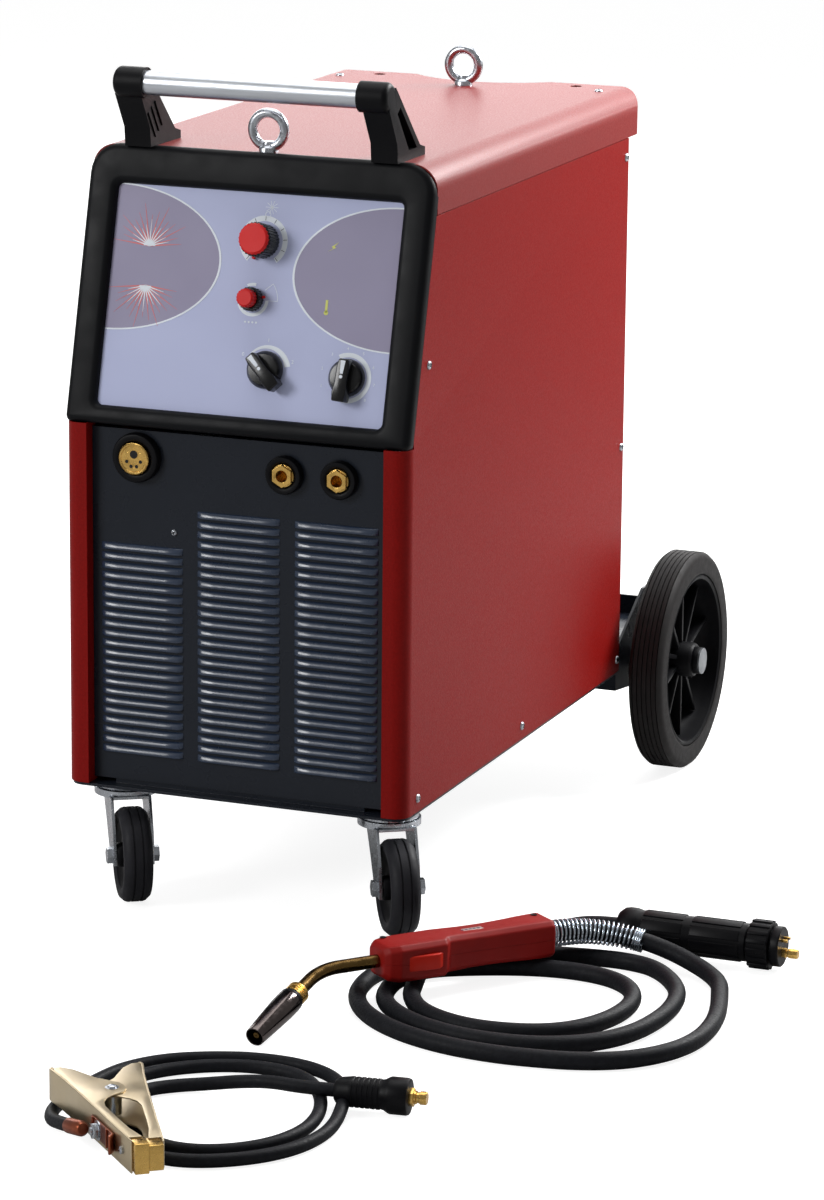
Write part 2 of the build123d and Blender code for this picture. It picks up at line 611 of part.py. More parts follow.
def hinge_pins():
    """Pins and fixed leaves that carry the door, joined to the left panel's rear part."""
    y1, z0, z1 = DOOR_Y[1] - DOOR_GAP, DOOR_Z[0] + DOOR_GAP, DOOR_Z[1] - DOOR_GAP
    x = -HALF_W - HINGE_R
    parts = []
    for z in (z0 + 60, z1 - 60):
        pin = rod((x, y1 - 4, z - 24), (x, y1 - 4, z + 24), 1.55)
        for low, high in ((z - 25, z - 15.4), (z + 15.4, z + 25)):
            pin += rod((x, y1 - 4, low), (x, y1 - 4, high), HINGE_R - 0.4)
            pin += block(-HALF_W - 3.4, -HALF_W - 0.4, y1 - 4, y1 + 5, low, high)
            pin += block(-HALF_W - 2, -HALF_W, y1 + 3, y1 + 17, low, high)
        parts.append(pin)
    return parts


def door_latch():
    y = DOOR_Y[0] + DOOR_GAP + 22
    z = (DOOR_Z[0] + DOOR_Z[1]) / 2
    body = rod((-HALF_W - 6, y, z), (-HALF_W - 0.3, y, z), 13)
    body -= block(-HALF_W - 8, -HALF_W - 4, y - 10, y + 10, z - 1.5, z + 1.5)
    body += rod((-HALF_W - 1, y, z), (-INNER_W + 5, y, z), 4.95)
    return body + block(-INNER_W + 3, -INNER_W + 5, y - 7, y + 7, z - 30, z + 7)


# ---------------------------------------------------------------- wire feed
def wire_spool():
    x0, x1 = SPOOL_X - SPOOL_W / 2, SPOOL_X + SPOOL_W / 2
    spool = rod((x0, SPOOL_Y, SPOOL_Z), (x1, SPOOL_Y, SPOOL_Z), 55)
    for a, b in ((x0, x0 + 4), (x1 - 4, x1)):
        flange = rod((a, SPOOL_Y, SPOOL_Z), (b, SPOOL_Y, SPOOL_Z), SPOOL_R)
        for i in range(6):
            angle = math.radians(60 * i)
            y, z = SPOOL_Y + 92 * math.cos(angle), SPOOL_Z + 92 * math.sin(angle)
            flange -= rod((a - 1, y, z), (b + 1, y, z), 20)
        spool += flange
    spool -= rod((x0 + 20, SPOOL_Y, SPOOL_Z), (x1 - 20, SPOOL_Y, SPOOL_Z), 48)
    return spool - rod((x0 - 1, SPOOL_Y, SPOOL_Z), (x1 + 1, SPOOL_Y, SPOOL_Z), SPOOL_BORE_R - 5 + SPOOL_FIT)


def spool_wire():
    x0, x1 = SPOOL_X - SPOOL_W / 2 + 4.3, SPOOL_X + SPOOL_W / 2 - 4.3
    wire = rod((x0, SPOOL_Y, SPOOL_Z), (x1, SPOOL_Y, SPOOL_Z), WIND_R)
    return wire - rod((x0 - 1, SPOOL_Y, SPOOL_Z), (x1 + 1, SPOOL_Y, SPOOL_Z), 55.3)


def wire_feeder():
    face = EURO_X + ROLL_W / 2 + 1.0
    z_roll = EURO_Z - ROLL_R - WIRE_GAP / 2
    housing = block(face, BULKHEAD_X, 85, 195, 420, 535)
    housing = fillet(housing.edges().filter_by(Axis.X), 8)
    housing += rod((face, ROLL_Y, z_roll), (face - ROLL_W - 3, ROLL_Y, z_roll), FEED_SHAFT_R)
    housing += rod((face, *ARM_PIN), (face - 26, *ARM_PIN), ARM_PIN_R)
    motor = rod(((face + BULKHEAD_X) / 2, 140, 420), ((face + BULKHEAD_X) / 2, 140, 300), 31)
    return [housing, motor]


def drive_roll():
    x0 = EURO_X + ROLL_W / 2
    z = EURO_Z - ROLL_R - WIRE_GAP / 2
    roll = rod((x0, ROLL_Y, z), (x0 - ROLL_W, ROLL_Y, z), ROLL_R)
    groove = Pos(EURO_X, ROLL_Y, z) * Rot(0, 90, 0) * Torus(ROLL_R + 0.5, 1.2)
    return roll - groove - rod((x0 + 1, ROLL_Y, z), (x0 - ROLL_W - 1, ROLL_Y, z), FEED_SHAFT_R + FEED_FIT)


def press_centre():
    return ROLL_Y, EURO_Z + PRESS_R + WIRE_GAP / 2


def pressure_arm():
    """A swinging arm on the housing's pin: it carries the upper roll and the tension screw."""
    y, z = press_centre()
    x0 = EURO_X + ROLL_W / 2
    py, pz = ARM_PIN
    arm = side_prism([(py + 9, pz - 9), (py + 9, pz + 9), (y - 8, z + 24), (y - 16, z + 12), (y - 6, z - 6),
                      (y + 8, z - 6)], x0 - ROLL_W - 1, x0 - ROLL_W - 8)
    arm += rod((x0 - ROLL_W - 4, y, z), (x0 - 0.5, y, z), FEED_SHAFT_R - 1)
    arm += rod((x0 - ROLL_W - 4.5, y - 4, z + 14), (x0 - ROLL_W - 4.5, y - 4, z + 60), 3)
    arm += rod((x0 - ROLL_W - 4.5, y - 4, z + 38), (x0 - ROLL_W - 4.5, y - 4, z + 66), 9)
    return arm - rod((x0, py, pz), (x0 - 40, py, pz), ARM_PIN_R + FEED_FIT)


def pressure_roll():
    y, z = press_centre()
    x0 = EURO_X + ROLL_W / 2
    roll = rod((x0 - 0.5, y, z), (x0 - ROLL_W, y, z), PRESS_R)
    return roll - rod((x0 + 1, y, z), (x0 - ROLL_W - 1, y, z), FEED_SHAFT_R - 1 + FEED_FIT)


# ---------------------------------------------------------------- knobs
def knob(name, layers):
    """A knob on the leaning plate: round layers of (radius, from, to) above the plate, and a shaft."""
    x, along = KNOBS[name]
    low = PLATE_DEPTH
    solid = on_front(x, along, low + PLATE_T + 12) * Cylinder(
        SHAFT_R, PLATE_T + 14 + SWITCH_GAP, align=(Align.CENTER, Align.CENTER, Align.MIN))
    for radius, start, end in layers:
        solid += on_front(x, along, low - start) * Cylinder(
            radius, end - start, align=(Align.CENTER, Align.CENTER, Align.MIN))
    return solid


def pointer_knob(name, turn):
    """A switch knob with a raised bar across its skirt."""
    x, along = KNOBS[name]
    solid = knob(name, [(20.0, SWITCH_GAP, 6.0)])
    bar = extrude(RectangleRounded(14, 38, 5), 14)
    return solid + on_front(x, along, PLATE_DEPTH - 6) * Rot(0, 0, turn) * bar


# ---------------------------------------------------------------- rear wheels
def rear_axle():
    reach = WHEEL_X + WHEEL_W / 2 + 5
    axle = rod((-reach, WHEEL_Y, WHEEL_R), (reach, WHEEL_Y, WHEEL_R), AXLE_R)
    for side in (-1, 1):
        axle += rod((side * (reach - 2), WHEEL_Y, WHEEL_R), (side * (reach + 3), WHEEL_Y, WHEEL_R), 15)
        axle += rod((side * INNER_W, WHEEL_Y, WHEEL_R), (side * (WHEEL_X - WHEEL_W / 2 - 2), WHEEL_Y, WHEEL_R), 16)
    return axle


def wheel_hub(side):
    x_in, x_out = side * (WHEEL_X - WHEEL_W / 2 - 1.5), side * (WHEEL_X + WHEEL_W / 2 + 2.5)
    at = (WHEEL_Y, WHEEL_R)
    hub = rod((x_in, *at), (x_out, *at), 20)
    rim_in, rim_out = side * (WHEEL_X - WHEEL_W / 2 + 3), side * (WHEEL_X + WHEEL_W / 2 - 2)
    rim = rod((rim_in, *at), (rim_out, *at), RIM_R - 0.2) - rod((x_in, *at), (side * 270, *at), RIM_R - 8)
    web = rod((side * (WHEEL_X - 5), *at), (side * (WHEEL_X + 1), *at), RIM_R - 4)
    hub = fused(hub, rim, web)
    for i in range(SPOKES):
        rib = Pos(0, RIM_R / 2 + 4, 0) * Box(26, RIM_R - 18, 5)
        hub += Pos(side * (WHEEL_X + 3), WHEEL_Y, WHEEL_R) * Rot(i * 360 / SPOKES, 0, 0) * rib
    return hub - rod((side * 180, *at), (side * 290, *at), AXLE_R + AXLE_FIT)


def wheel_tyre(side):
    at = (WHEEL_Y, WHEEL_R)
    tyre = rod((side * (WHEEL_X - WHEEL_W / 2), *at), (side * (WHEEL_X + WHEEL_W / 2), *at), WHEEL_R)
    tyre = fillet(tyre.edges(), 6)
    for i in (-1, 0, 1):
        groove = rod((side * (WHEEL_X + i * 8 - 1), *at), (side * (WHEEL_X + i * 8 + 1), *at), WHEEL_R + 1)
        tyre -= groove - rod((side * 180, *at), (side * 290, *at), WHEEL_R - 2.2)
    return tyre - rod((side * 180, *at), (side * 290, *at), RIM_R)


# ---------------------------------------------------------------- casters
def caster_plane(side):
    """A frame on the swivel's axis at axle height: X points along the trail, Y along the axle."""
    return Plane(origin=(side * CASTER_X, CASTER_Y, CASTER_R),
                 x_dir=(math.cos(CASTER_TURN), math.sin(CASTER_TURN), 0), z_dir=(0, 0, 1))


def caster_plate(side):
    top = TRAY_TOP_Z - TRAY_T
    w, d, t = CASTER_PLATE
    x, y = side * (CASTER_X - 8), CASTER_Y
    plate = Pos(x, y, top - t / 2) * Box(w, d, t)
    plate = fillet(plate.edges().filter_by(Axis.Z), 6)
    plate += Pos(side * CASTER_X, y, top - t - 4) * Cylinder(31, 8)
    for dx in (-30, 30):
        for dy in (-26, 26):
            plate += Pos(x + dx, y + dy, top - t - 2.5) * Cylinder(6, 5)
    return plate + Pos(side * CASTER_X, y, top - t - 12) * Cylinder(SWIVEL_PIN_R, 24)


def caster_fork(side):
    """The swivelling fork, a separate axle bolt through its legs and the swivel's pinned bore."""
    frame = caster_plane(side)
    crown_z = TRAY_TOP_Z - TRAY_T - CASTER_PLATE[2] - 8 - RUN_GAP - CASTER_R
    inner, outer = CASTER_W / 2 + 2.5, CASTER_W / 2 + 5.5
    crown = Pos(0, 0, crown_z - 3.5) * Cylinder(33, 7)
    crown += Pos(8, 0, crown_z - 5.5) * Box(56, 2 * outer, 3)
    fork = crown
    for s in (-1, 1):
        leg = make_face(Polyline([(-20, s * inner, crown_z - 4), (36, s * inner, crown_z - 4),
                                  (52, s * inner, 24), (CASTER_TRAIL + 12, s * inner, -9),
                                  (CASTER_TRAIL - 12, s * inner, -9), (8, s * inner, 26)], close=True))
        fork += extrude(leg, amount=outer - inner, dir=(0, s, 0))
    fork -= Cylinder(SWIVEL_PIN_R + AXLE_FIT, 400)
    axle_at = Pos(CASTER_TRAIL, 0, 0) * Rot(90, 0, 0)
    fork -= axle_at * Cylinder(CASTER_AXLE_R, 100)
    bolt = axle_at * Cylinder(CASTER_AXLE_R, 2 * outer + 10)
    bolt += Pos(CASTER_TRAIL, outer + 3, 0) * Rot(90, 0, 0) * extrude(RegularPolygon(9, 6), 3, both=True)
    bolt += Pos(CASTER_TRAIL, -outer - 3, 0) * Rot(90, 0, 0) * extrude(RegularPolygon(9, 6), 3, both=True)
    return [frame * fork, frame * bolt]


def caster_wheel(side):
    """A plastic core and its rubber tread, which turn together on the bolt."""
    frame = caster_plane(side)
    at = Pos(CASTER_TRAIL, 0, 0) * Rot(90, 0, 0)
    core = at * Cylinder(36, CASTER_W - 8) + at * Cylinder(13, CASTER_W + 3)
    for s in (-1, 1):
        core -= Pos(CASTER_TRAIL, s * (CASTER_W / 2 - 4), 0) * Rot(90, 0, 0) * (Cylinder(32, 8) - Cylinder(14, 9))
    core -= at * Cylinder(CASTER_AXLE_R + AXLE_FIT, 60)
    tread = at * Cylinder(CASTER_R, CASTER_W)
    tread = fillet(tread.edges(), 6)
    tread -= at * Cylinder(36.2, CASTER_W + 2)
    return [frame * core, frame * tread]


# ---------------------------------------------------------------- torch
def torch_plane():
    a, b = Vector(*TORCH_FRONT), Vector(*TORCH_REAR)
    return Plane(origin=a, x_dir=b - a, z_dir=Vector(0, 0, 1) - (b - a).normalized() * (b - a).normalized().Z)


def torch_length():
    return (Vector(*TORCH_REAR) - Vector(*TORCH_FRONT)).length


def torch_handle():
    """The whole handle, still in one piece: its outline, its cavity and the trigger's pocket."""
    end = torch_length()
    outline = Polyline((0, -17), (6, -24), (18, -26), (66, -26), (72, -19), (110, -17.5), (end, -20), (end, 20),
                       (0, 19), close=True)
    body = extrude(make_face(outline), TORCH_H / 2, both=True)
    longways = [e for e in body.edges() if abs(abs(e.center().Z) - TORCH_H / 2) < 0.01 and e.length > 60]
    body = chamfer(longways, 6)
    body -= Pos(end / 2 - 2, 1, 0) * Box(end - 24, 26, TORCH_H - 14)
    body -= Pos((TRIGGER[0] + TRIGGER[1]) / 2, -20, 0) * Box(TRIGGER[1] - TRIGGER[0] + 3, 22, 17)
    body -= Pos(10, 0, 0) * Rot(0, 90, 0) * Cylinder(NECK_R, 40)
    body -= Pos(end - 10, 0, 0) * Rot(0, 90, 0) * Cylinder(TORCH_CABLE_R + 2, 18)
    pin = Pos(TRIGGER[0] + 5, -17, 0) * Cylinder(TRIGGER_PIN_R, 19)
    return body + pin


def torch_shells():
    whole = torch_handle()
    big = Pos(100, 0, 50) * Box(500, 200, 100)
    under = Pos(100, 0, -50) * Box(500, 200, 100)
    plane = torch_plane()
    return plane * (whole & big), plane * (whole & under)


def torch_trigger():
    x0, x1 = TRIGGER
    outline = Polyline((x0 + 0.5, -12), (x0 + 0.5, -24.5), (x0 + 10, -27), (x1 - 6, -28.5), (x1, -24), (x1, -15),
                       (x1 - 8, -13), (x0 + 14, -13), close=True)
    lever = extrude(make_face(outline), 8.0, both=True)
    return torch_plane() * (lever - Pos(x0 + 5, -17, 0) * Cylinder(TRIGGER_PIN_R + TRIGGER_FIT, 40))


def on_handle(distance):
    """A point on the handle's long axis, measured back from its front."""
    point = torch_plane().from_local_coords(Vector(distance, 0, 0))
    return point.X, point.Y, point.Z


def along_nozzle(distance):
    """A point on the nozzle's axis, measured forward from the collar's back."""
    tip = Vector(*NOZZLE_TIP)
    ahead = (tip - Vector(*on_handle(-NECK_REACH))).normalized()
    point = tip + ahead * (distance - NOZZLE_L)
    return point.X, point.Y, point.Z


def torch_neck():
    path = FilletPolyline(on_handle(26), on_handle(-NECK_REACH), along_nozzle(0), radius=NECK_BEND)
    neck = tube(path, NECK_R - 0.1)
    collar = rod(along_nozzle(-2), along_nozzle(COLLAR_L), COLLAR_R)
    holder = rod(along_nozzle(COLLAR_L - 1), along_nozzle(COLLAR_L + 22), 6)
    tip = cone(along_nozzle(COLLAR_L + 22), along_nozzle(NOZZLE_L - 3), TIP_R, TIP_R - 1)
    return [neck + collar + holder, tip - rod(along_nozzle(COLLAR_L), along_nozzle(NOZZLE_L), 0.7)]


def torch_nozzle():
    shell = cone(along_nozzle(COLLAR_L + 0.3), along_nozzle(NOZZLE_L), *NOZZLE_R)
    return shell - rod(along_nozzle(COLLAR_L), along_nozzle(NOZZLE_L + 1), NOZZLE_BORE_R)


def torch_spring():
    """The bend spring's sleeve round the first stretch of the cable."""
    radii = bend_radii(TORCH_LEAD)
    a, b = Vector(*TORCH_LEAD[2]), Vector(*TORCH_LEAD[3])
    mid = (a + b) * 0.5
    path = FilletPolyline(*TORCH_LEAD[:3], (mid.X, mid.Y, mid.Z), radius=radii[:2])
    start = Plane(origin=path @ 0, z_dir=path % 0)
    ring = sweep(start * (Circle(SLEEVE_R) - Circle(SLEEVE_BORE_R)), path=path)
    return ring


def flat_ring(centre, axes, hole_centre, hole_axes, height):
    ring = Pos(*centre) * extrude(Ellipse(*axes), height)
    return Pos(0, 0, FLOOR_GAP) * (ring - Pos(*hole_centre, -1) * extrude(Ellipse(*hole_axes), height + 2))


def torch_coil():
    ring = flat_ring(COIL_CENTRE, COIL_OUT, COIL_HOLE_CENTRE, COIL_HOLE, 2 * TORCH_CABLE_R)
    ring -= rod(TORCH_LEAD[-2], TORCH_LEAD[-1], TORCH_CABLE_R + 0.5)
    a, b = Vector(*TORCH_LEAD[-2]), Vector(*TORCH_LEAD[-1])
    end = b + (b - a).normalized() * 45
    return fused(ring, rod(TORCH_LEAD[-1], (end.X, end.Y, end.Z), TORCH_CABLE_R),
                 tube(route(TORCH_TAIL), TORCH_CABLE_R))


def euro_plug():
    """The plug's body with its front boss, and its brass pins as separate solids."""
    _, y, z = TORCH_TAIL[0]
    x0 = TORCH_TAIL[0][0]
    body = cone((x0, y, z), (x0 + 10, y, z), PLUG_R - 4, PLUG_R + 1)
    body += rod((x0 + 10, y, z), (x0 + 20, y, z), PLUG_R + 1)
    body += rod((x0 + 20, y, z), (NUT_X[0] - 1, y, z), PLUG_R)
    body += rod((NUT_X[0] - 2, y, z), (NUT_X[1] + 1, y, z), NUT_NECK_R)
    body += rod((NUT_X[1] + RUN_GAP, y, z), (PLUG_END_X, y, z), PLUG_R + 0.5)
    pins = [rod((PLUG_END_X, y, z - 6), (PLUG_END_X + 16, y, z - 6), 5)]
    for dy in (-5, 5):
        pins.append(rod((PLUG_END_X, y + dy, z + 8), (PLUG_END_X + 6, y + dy, z + 8), 1.6))
    return [body] + pins


def plug_nut():
    _, y, z = TORCH_TAIL[0]
    nut = rod((NUT_X[0], y, z), (NUT_X[1], y, z), NUT_R - 1.2)
    for i in range(16):
        rib = Pos(0, NUT_R - 2, 0) * Box(NUT_X[1] - NUT_X[0], 4, 4.5)
        nut += Pos((NUT_X[0] + NUT_X[1]) / 2, y, z) * Rot(i * 22.5, 0, 0) * rib
    return nut - rod((NUT_X[0] - 1, y, z), (NUT_X[1] + 1, y, z), NUT_NECK_R + NUT_FIT)


# ---------------------------------------------------------------- earth clamp
JAW_OUTER = ((-72, 45), (160, 14))


def jaw(side, width):
    """A pressed channel: two cheeks and the web along its outer edge, with a brass pad at its tip."""
    s = side
    cheek = [(-72, 45 * s), (-66, 32 * s), (-26, 9 * s), (-12, -11 * s), (6, -13 * s), (16, -6 * s), (24, 9 * s),
             (38, 17 * s), (118, 10 * s), (134, 3 * s), (160, 3 * s), (160, 14 * s)]
    solid = extrude(make_face(Polyline(cheek, close=True)), width / 2, both=True)
    inner = [(-80, 80 * s), (-80, -60 * s), (170, -60 * s), (170, 80 * s)]
    (xa, ya), (xb, yb) = JAW_OUTER
    drop = CLAMP_SHEET
    cut = [(xa - 20, ya * s - drop * s + 2.7 * s), (xb + 20, yb * s - drop * s - 2.7 * s), (xb + 20, -60 * s),
           (xa - 20, -60 * s)]
    hollow = extrude(make_face(Polyline(cut, close=True)), width / 2 - CLAMP_SHEET, both=True)
    solid = solid - hollow
    return solid - Cylinder(CLAMP_PIN_R + CLAMP_PIN_FIT, 80)


def clamp_pad(side, width):
    s = side
    pad = Pos(150, s * 4.5, 0) * Box(26, 8.4, width - 2 * CLAMP_SHEET - 0.4)
    return pad


def clamp_fixed_jaw():
    """The jaw that holds the cable lug, with its pad, the rivet, the lug and the lug's bolt."""
    body = jaw(-1, CLAMP_W)
    pad = clamp_pad(-1, CLAMP_W)
    rivet = Pos(0, 0, 0.5) * Cylinder(CLAMP_PIN_R, CLAMP_W + 1) + Pos(0, 0, CLAMP_W / 2 + 1) * Cylinder(6, 2)
    (xa, ya), (xb, yb) = JAW_OUTER
    lean = math.degrees(math.atan2(yb - ya, xb - xa))
    at = Pos(70, -(ya + (yb - ya) * (70 - xa) / (xb - xa)), 0) * Rot(0, 0, -lean)
    strap = at * Pos(8, -1.6, 0) * Box(66, 3, 18)
    bolt = at * Pos(0, -5.6, 0) * Rot(90, 0, 0) * extrude(RegularPolygon(8, 6), 2.5, both=True)
    bolt += at * Pos(0, 4, 0) * Rot(90, 0, 0) * Cylinder(4, 14)
    lug = strap - bolt
    return [CLAMP_PLANE * body - CLAMP_PLANE * bolt, CLAMP_PLANE * pad, CLAMP_PLANE * rivet,
            CLAMP_PLANE * bolt, CLAMP_PLANE * lug + lug_barrel()]


def lug_barrel():
    """The crimped barrel that the cable's end sits against, level with the cable."""
    a, b = Vector(*EARTH_LEAD[0]), Vector(*EARTH_LEAD[1])
    back = (a - b).normalized()
    end = a + back * 30
    return rod(EARTH_LEAD[0], (end.X, end.Y, end.Z), 7.2)


def clamp_moving_jaw():
    width = CLAMP_W - 2 * CLAMP_SHEET - 2 * CLAMP_PLAY
    body = jaw(1, width)
    return [CLAMP_PLANE * body, CLAMP_PLANE * clamp_pad(1, width)]


def clamp_spring():
    """The torsion spring round the rivet, between the cheeks."""
    coil = Cylinder(9, 18) - Cylinder(CLAMP_PIN_R + 0.4, 20)
    return CLAMP_PLANE * coil


def earth_coil():
    ring = flat_ring(EARTH_COIL_CENTRE, EARTH_COIL_OUT, EARTH_HOLE_CENTRE, EARTH_HOLE, 2 * EARTH_CABLE_R)
    ring -= rod(earth_plug_point(-0.3), earth_plug_point(80), EARTH_PLUG_R[1] + 0.4)
    ring -= rod(EARTH_LEAD[-2], EARTH_LEAD[-1], EARTH_CABLE_R + 0.5)
    dx, dy = EARTH_PLUG_DIR
    x, y, z = earth_plug_point(0)
    tail = [(x, y, z)] + [(x - run * dx - up * dy, y - run * dy + up * dx, z + dz)
                          for run, up, dz in EARTH_TAIL_RUNS]
    return fused(ring, tube(route(EARTH_JOIN), EARTH_CABLE_R), tube(route(tail), EARTH_CABLE_R))


def earth_plug_point(distance):
    dx, dy = EARTH_PLUG_DIR
    return (EARTH_PLUG_AT[0] + distance * dx, EARTH_PLUG_AT[1] + distance * dy, EARTH_PLUG_R[1] + FLOOR_GAP)


def earth_plug():
    r0, r1 = EARTH_PLUG_R
    end = EARTH_PLUG_L
    sleeve = cone(earth_plug_point(0), earth_plug_point(14), r0 - 3, r0)
    sleeve += rod(earth_plug_point(14), earth_plug_point(48), r0)
    sleeve += cone(earth_plug_point(48), earth_plug_point(52), r0, r1)
    sleeve += rod(earth_plug_point(52), earth_plug_point(end), r1)
    plane = Plane(origin=earth_plug_point(end), z_dir=(*EARTH_PLUG_DIR, 0))
    pin = plane * extrude(RegularPolygon(9, 6), 4)
    pin += rod(earth_plug_point(end), earth_plug_point(end + 16), 6.3)
    return [sleeve, pin]


# ---------------------------------------------------------------- build
def build():
    os.makedirs("parts", exist_ok=True)
    save("base_tray", base_tray())
    save("bottle_tray", bottle_tray())
    save("side_panel_right", side_panel(1))
    save("side_panel_left", side_panel(-1) - door_opening(), *hinge_pins())
    save("top_cover", top_cover())
    save("front_panel", front_panel())
    save("front_bezel", front_bezel())
    save("control_plate", control_plate())
    save("rear_panel", rear_panel())
    save("centre_bulkhead", centre_bulkhead())
    save("handle_grip", grip())
    save("handle_brackets", handle_bracket(-1), handle_bracket(1))
    save("lifting_eyes", *[lifting_eye(y) for y in EYE_YS])
    save("panel_screws", *screws())
    save("socket_rings", *socket_rings())
    save("socket_contacts", *socket_contacts())
    save("transformer", *transformer())
    save("rectifier_stack", rectifier_stack())
    save("control_board", *control_board())
    save("fan_frame", fan_frame())
    save("fan_blades", fan_blades())
    save("rear_inlets", *rear_inlets())
    save("side_door", side_door())
    save("door_latch", door_latch())
    save("wire_spool", wire_spool())
    save("spool_wire", spool_wire())
    save("wire_feeder", *wire_feeder())
    save("drive_roll", drive_roll())
    save("pressure_arm", pressure_arm())
    save("pressure_roll", pressure_roll())
    save("wire_speed_knob", knob("wire_speed", [(19.0, SWITCH_GAP, 16.0), (16.0, 16.0, 30.0)]))
    save("spot_timer_knob", knob("spot_timer", [(12.0, SWITCH_GAP, 14.0), (9.0, 14.0, 24.0)]))
    save("main_switch_knob", pointer_knob("main_switch", 45))
    save("voltage_knob", pointer_knob("voltage", 8))
    save("rear_axle", rear_axle())
    save("caster_plates", caster_plate(-1), caster_plate(1))
    for side, word in ((-1, "left"), (1, "right")):
        save(f"rear_hub_{word}", wheel_hub(side))
        save(f"rear_tyre_{word}", wheel_tyre(side))
        save(f"caster_fork_{word}", *caster_fork(side))
        save(f"caster_wheel_{word}", *caster_wheel(side))
    upper, lower = torch_shells()
    save("torch_shell_upper", upper)
    save("torch_shell_lower", lower)
    save("torch_trigger", torch_trigger())
    save("torch_neck", *torch_neck())
    save("torch_nozzle", torch_nozzle())
    save("torch_spring", torch_spring())
    save("torch_cable_lead", tube(route(TORCH_LEAD), TORCH_CABLE_R))
    save("torch_cable_coil", torch_coil())
    save("euro_plug_body", *euro_plug())
    save("euro_plug_nut", plug_nut())
    save("clamp_fixed_jaw", *clamp_fixed_jaw())
    save("clamp_moving_jaw", *clamp_moving_jaw())
    save("clamp_spring", clamp_spring())
    save("earth_cable_lead", tube(route(EARTH_LEAD), EARTH_CABLE_R))
    save("earth_cable_coil", earth_coil())
    save("earth_plug", *earth_plug())
    report_cord("torch cable lead", TORCH_LEAD, TORCH_CABLE_R)
    report_cord("torch cable tail", TORCH_TAIL, TORCH_CABLE_R)
    report_cord("earth cable lead", EARTH_LEAD, EARTH_CABLE_R)


build()
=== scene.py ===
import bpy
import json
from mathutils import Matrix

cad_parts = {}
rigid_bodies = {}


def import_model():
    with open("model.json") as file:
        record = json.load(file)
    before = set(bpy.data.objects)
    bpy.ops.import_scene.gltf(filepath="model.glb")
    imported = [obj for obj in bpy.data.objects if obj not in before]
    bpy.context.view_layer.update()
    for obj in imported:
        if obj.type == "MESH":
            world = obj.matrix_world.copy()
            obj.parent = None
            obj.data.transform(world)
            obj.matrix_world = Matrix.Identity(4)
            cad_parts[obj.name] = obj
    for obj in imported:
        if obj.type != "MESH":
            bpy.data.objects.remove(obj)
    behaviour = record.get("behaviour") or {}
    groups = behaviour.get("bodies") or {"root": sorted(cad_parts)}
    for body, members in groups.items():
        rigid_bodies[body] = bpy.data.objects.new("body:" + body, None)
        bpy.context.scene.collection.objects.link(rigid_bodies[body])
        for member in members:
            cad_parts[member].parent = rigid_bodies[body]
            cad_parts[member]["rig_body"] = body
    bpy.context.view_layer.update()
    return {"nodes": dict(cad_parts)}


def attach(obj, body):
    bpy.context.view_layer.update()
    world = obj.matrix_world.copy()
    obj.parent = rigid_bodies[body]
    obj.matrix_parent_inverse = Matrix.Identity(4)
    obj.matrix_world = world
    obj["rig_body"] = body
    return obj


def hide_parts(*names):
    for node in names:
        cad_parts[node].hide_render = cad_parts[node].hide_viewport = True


bl_info = {
    "name": "Wire-feed welder on a cart",
    "version": (1, 0, 0),
    "blender": (4, 5, 0),
    "location": "3D View > Sidebar > Welder",
    "description": "Builds the looks of a wheeled welder with its torch and earth lead around a fixed frame",
    "category": "Object",
}

import json
import math

import bmesh
import bpy
from bpy.props import FloatProperty, FloatVectorProperty, IntProperty, PointerProperty
from mathutils import Matrix, Vector

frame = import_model()

MM = 0.001
LEAN = math.atan(0.26)
STRIP_TOP = 511.0
PLATE_DEPTH = 8.0
KNOB_AT = {"wire_speed": (8.5, 200.0), "spot_timer": (3.0, 140.5), "main_switch": (25.0, 70.5),
           "voltage": (114.5, 69.5)}
FRONT = Matrix.Translation((0, 0, STRIP_TOP)) @ Matrix.Rotation(math.pi / 2 - LEAN, 4, "X")
WHEEL_SPOT = (231.0, 752.6, 125.0)
CASTER_SPOT = (149.5, 60.0, 50.0)
CASTER_TURN = math.radians(-56.4)
CASTER_TRAIL = 45.0
TORCH_FRONT = Vector((236.0, -186.0, 41.0))
TORCH_REAR = Vector((356.0, -32.0, 38.0))
NOZZLE_TIP = Vector((180.5, -361.0, 10.0))
NECK_REACH = 65.0
NOZZLE_L = 85.0
CLAMP_AT = (158.0, -634.0, 29.8)
CLAMP_DIR = (0.613, -0.790)
CASE_HALF = 190.0
CASE_SIDE_SCREWS = ((56, 590), (342, 143), (652, 143), (36, 143), (652, 718), (652, 390))
LID_TOP = 789.0
PANEL_Y = 14.0
LOUVRE_COLUMNS = ((-108.0, 22), (0.0, 26), (108.0, 26))
LOUVRE_LOW, LOUVRE_PITCH = 162.4, 10.3
EURO_X, EURO_Z = -112.0, 478.0
EARTH_XS, EARTH_Z = (52.0, 112.0), 474.0
EYE_YS = (90.0, 641.0)
EYE_RING, EYE_WIRE, EYE_UP = 17.5, 5.0, 22.5
SPOKES = 10
PARTING_GAP = 0.12


def tone(red, green, blue):
    """Display values from 0 to 255 as the linear values that a shader takes."""
    return tuple(((c / 255 + 0.055) / 1.055) ** 2.4 if c > 10 else c / 3294.6 for c in (red, green, blue))


def colour(name, words, value):
    return FloatVectorProperty(name=name, description=words, default=value, subtype="COLOR", size=3, min=0, max=1)


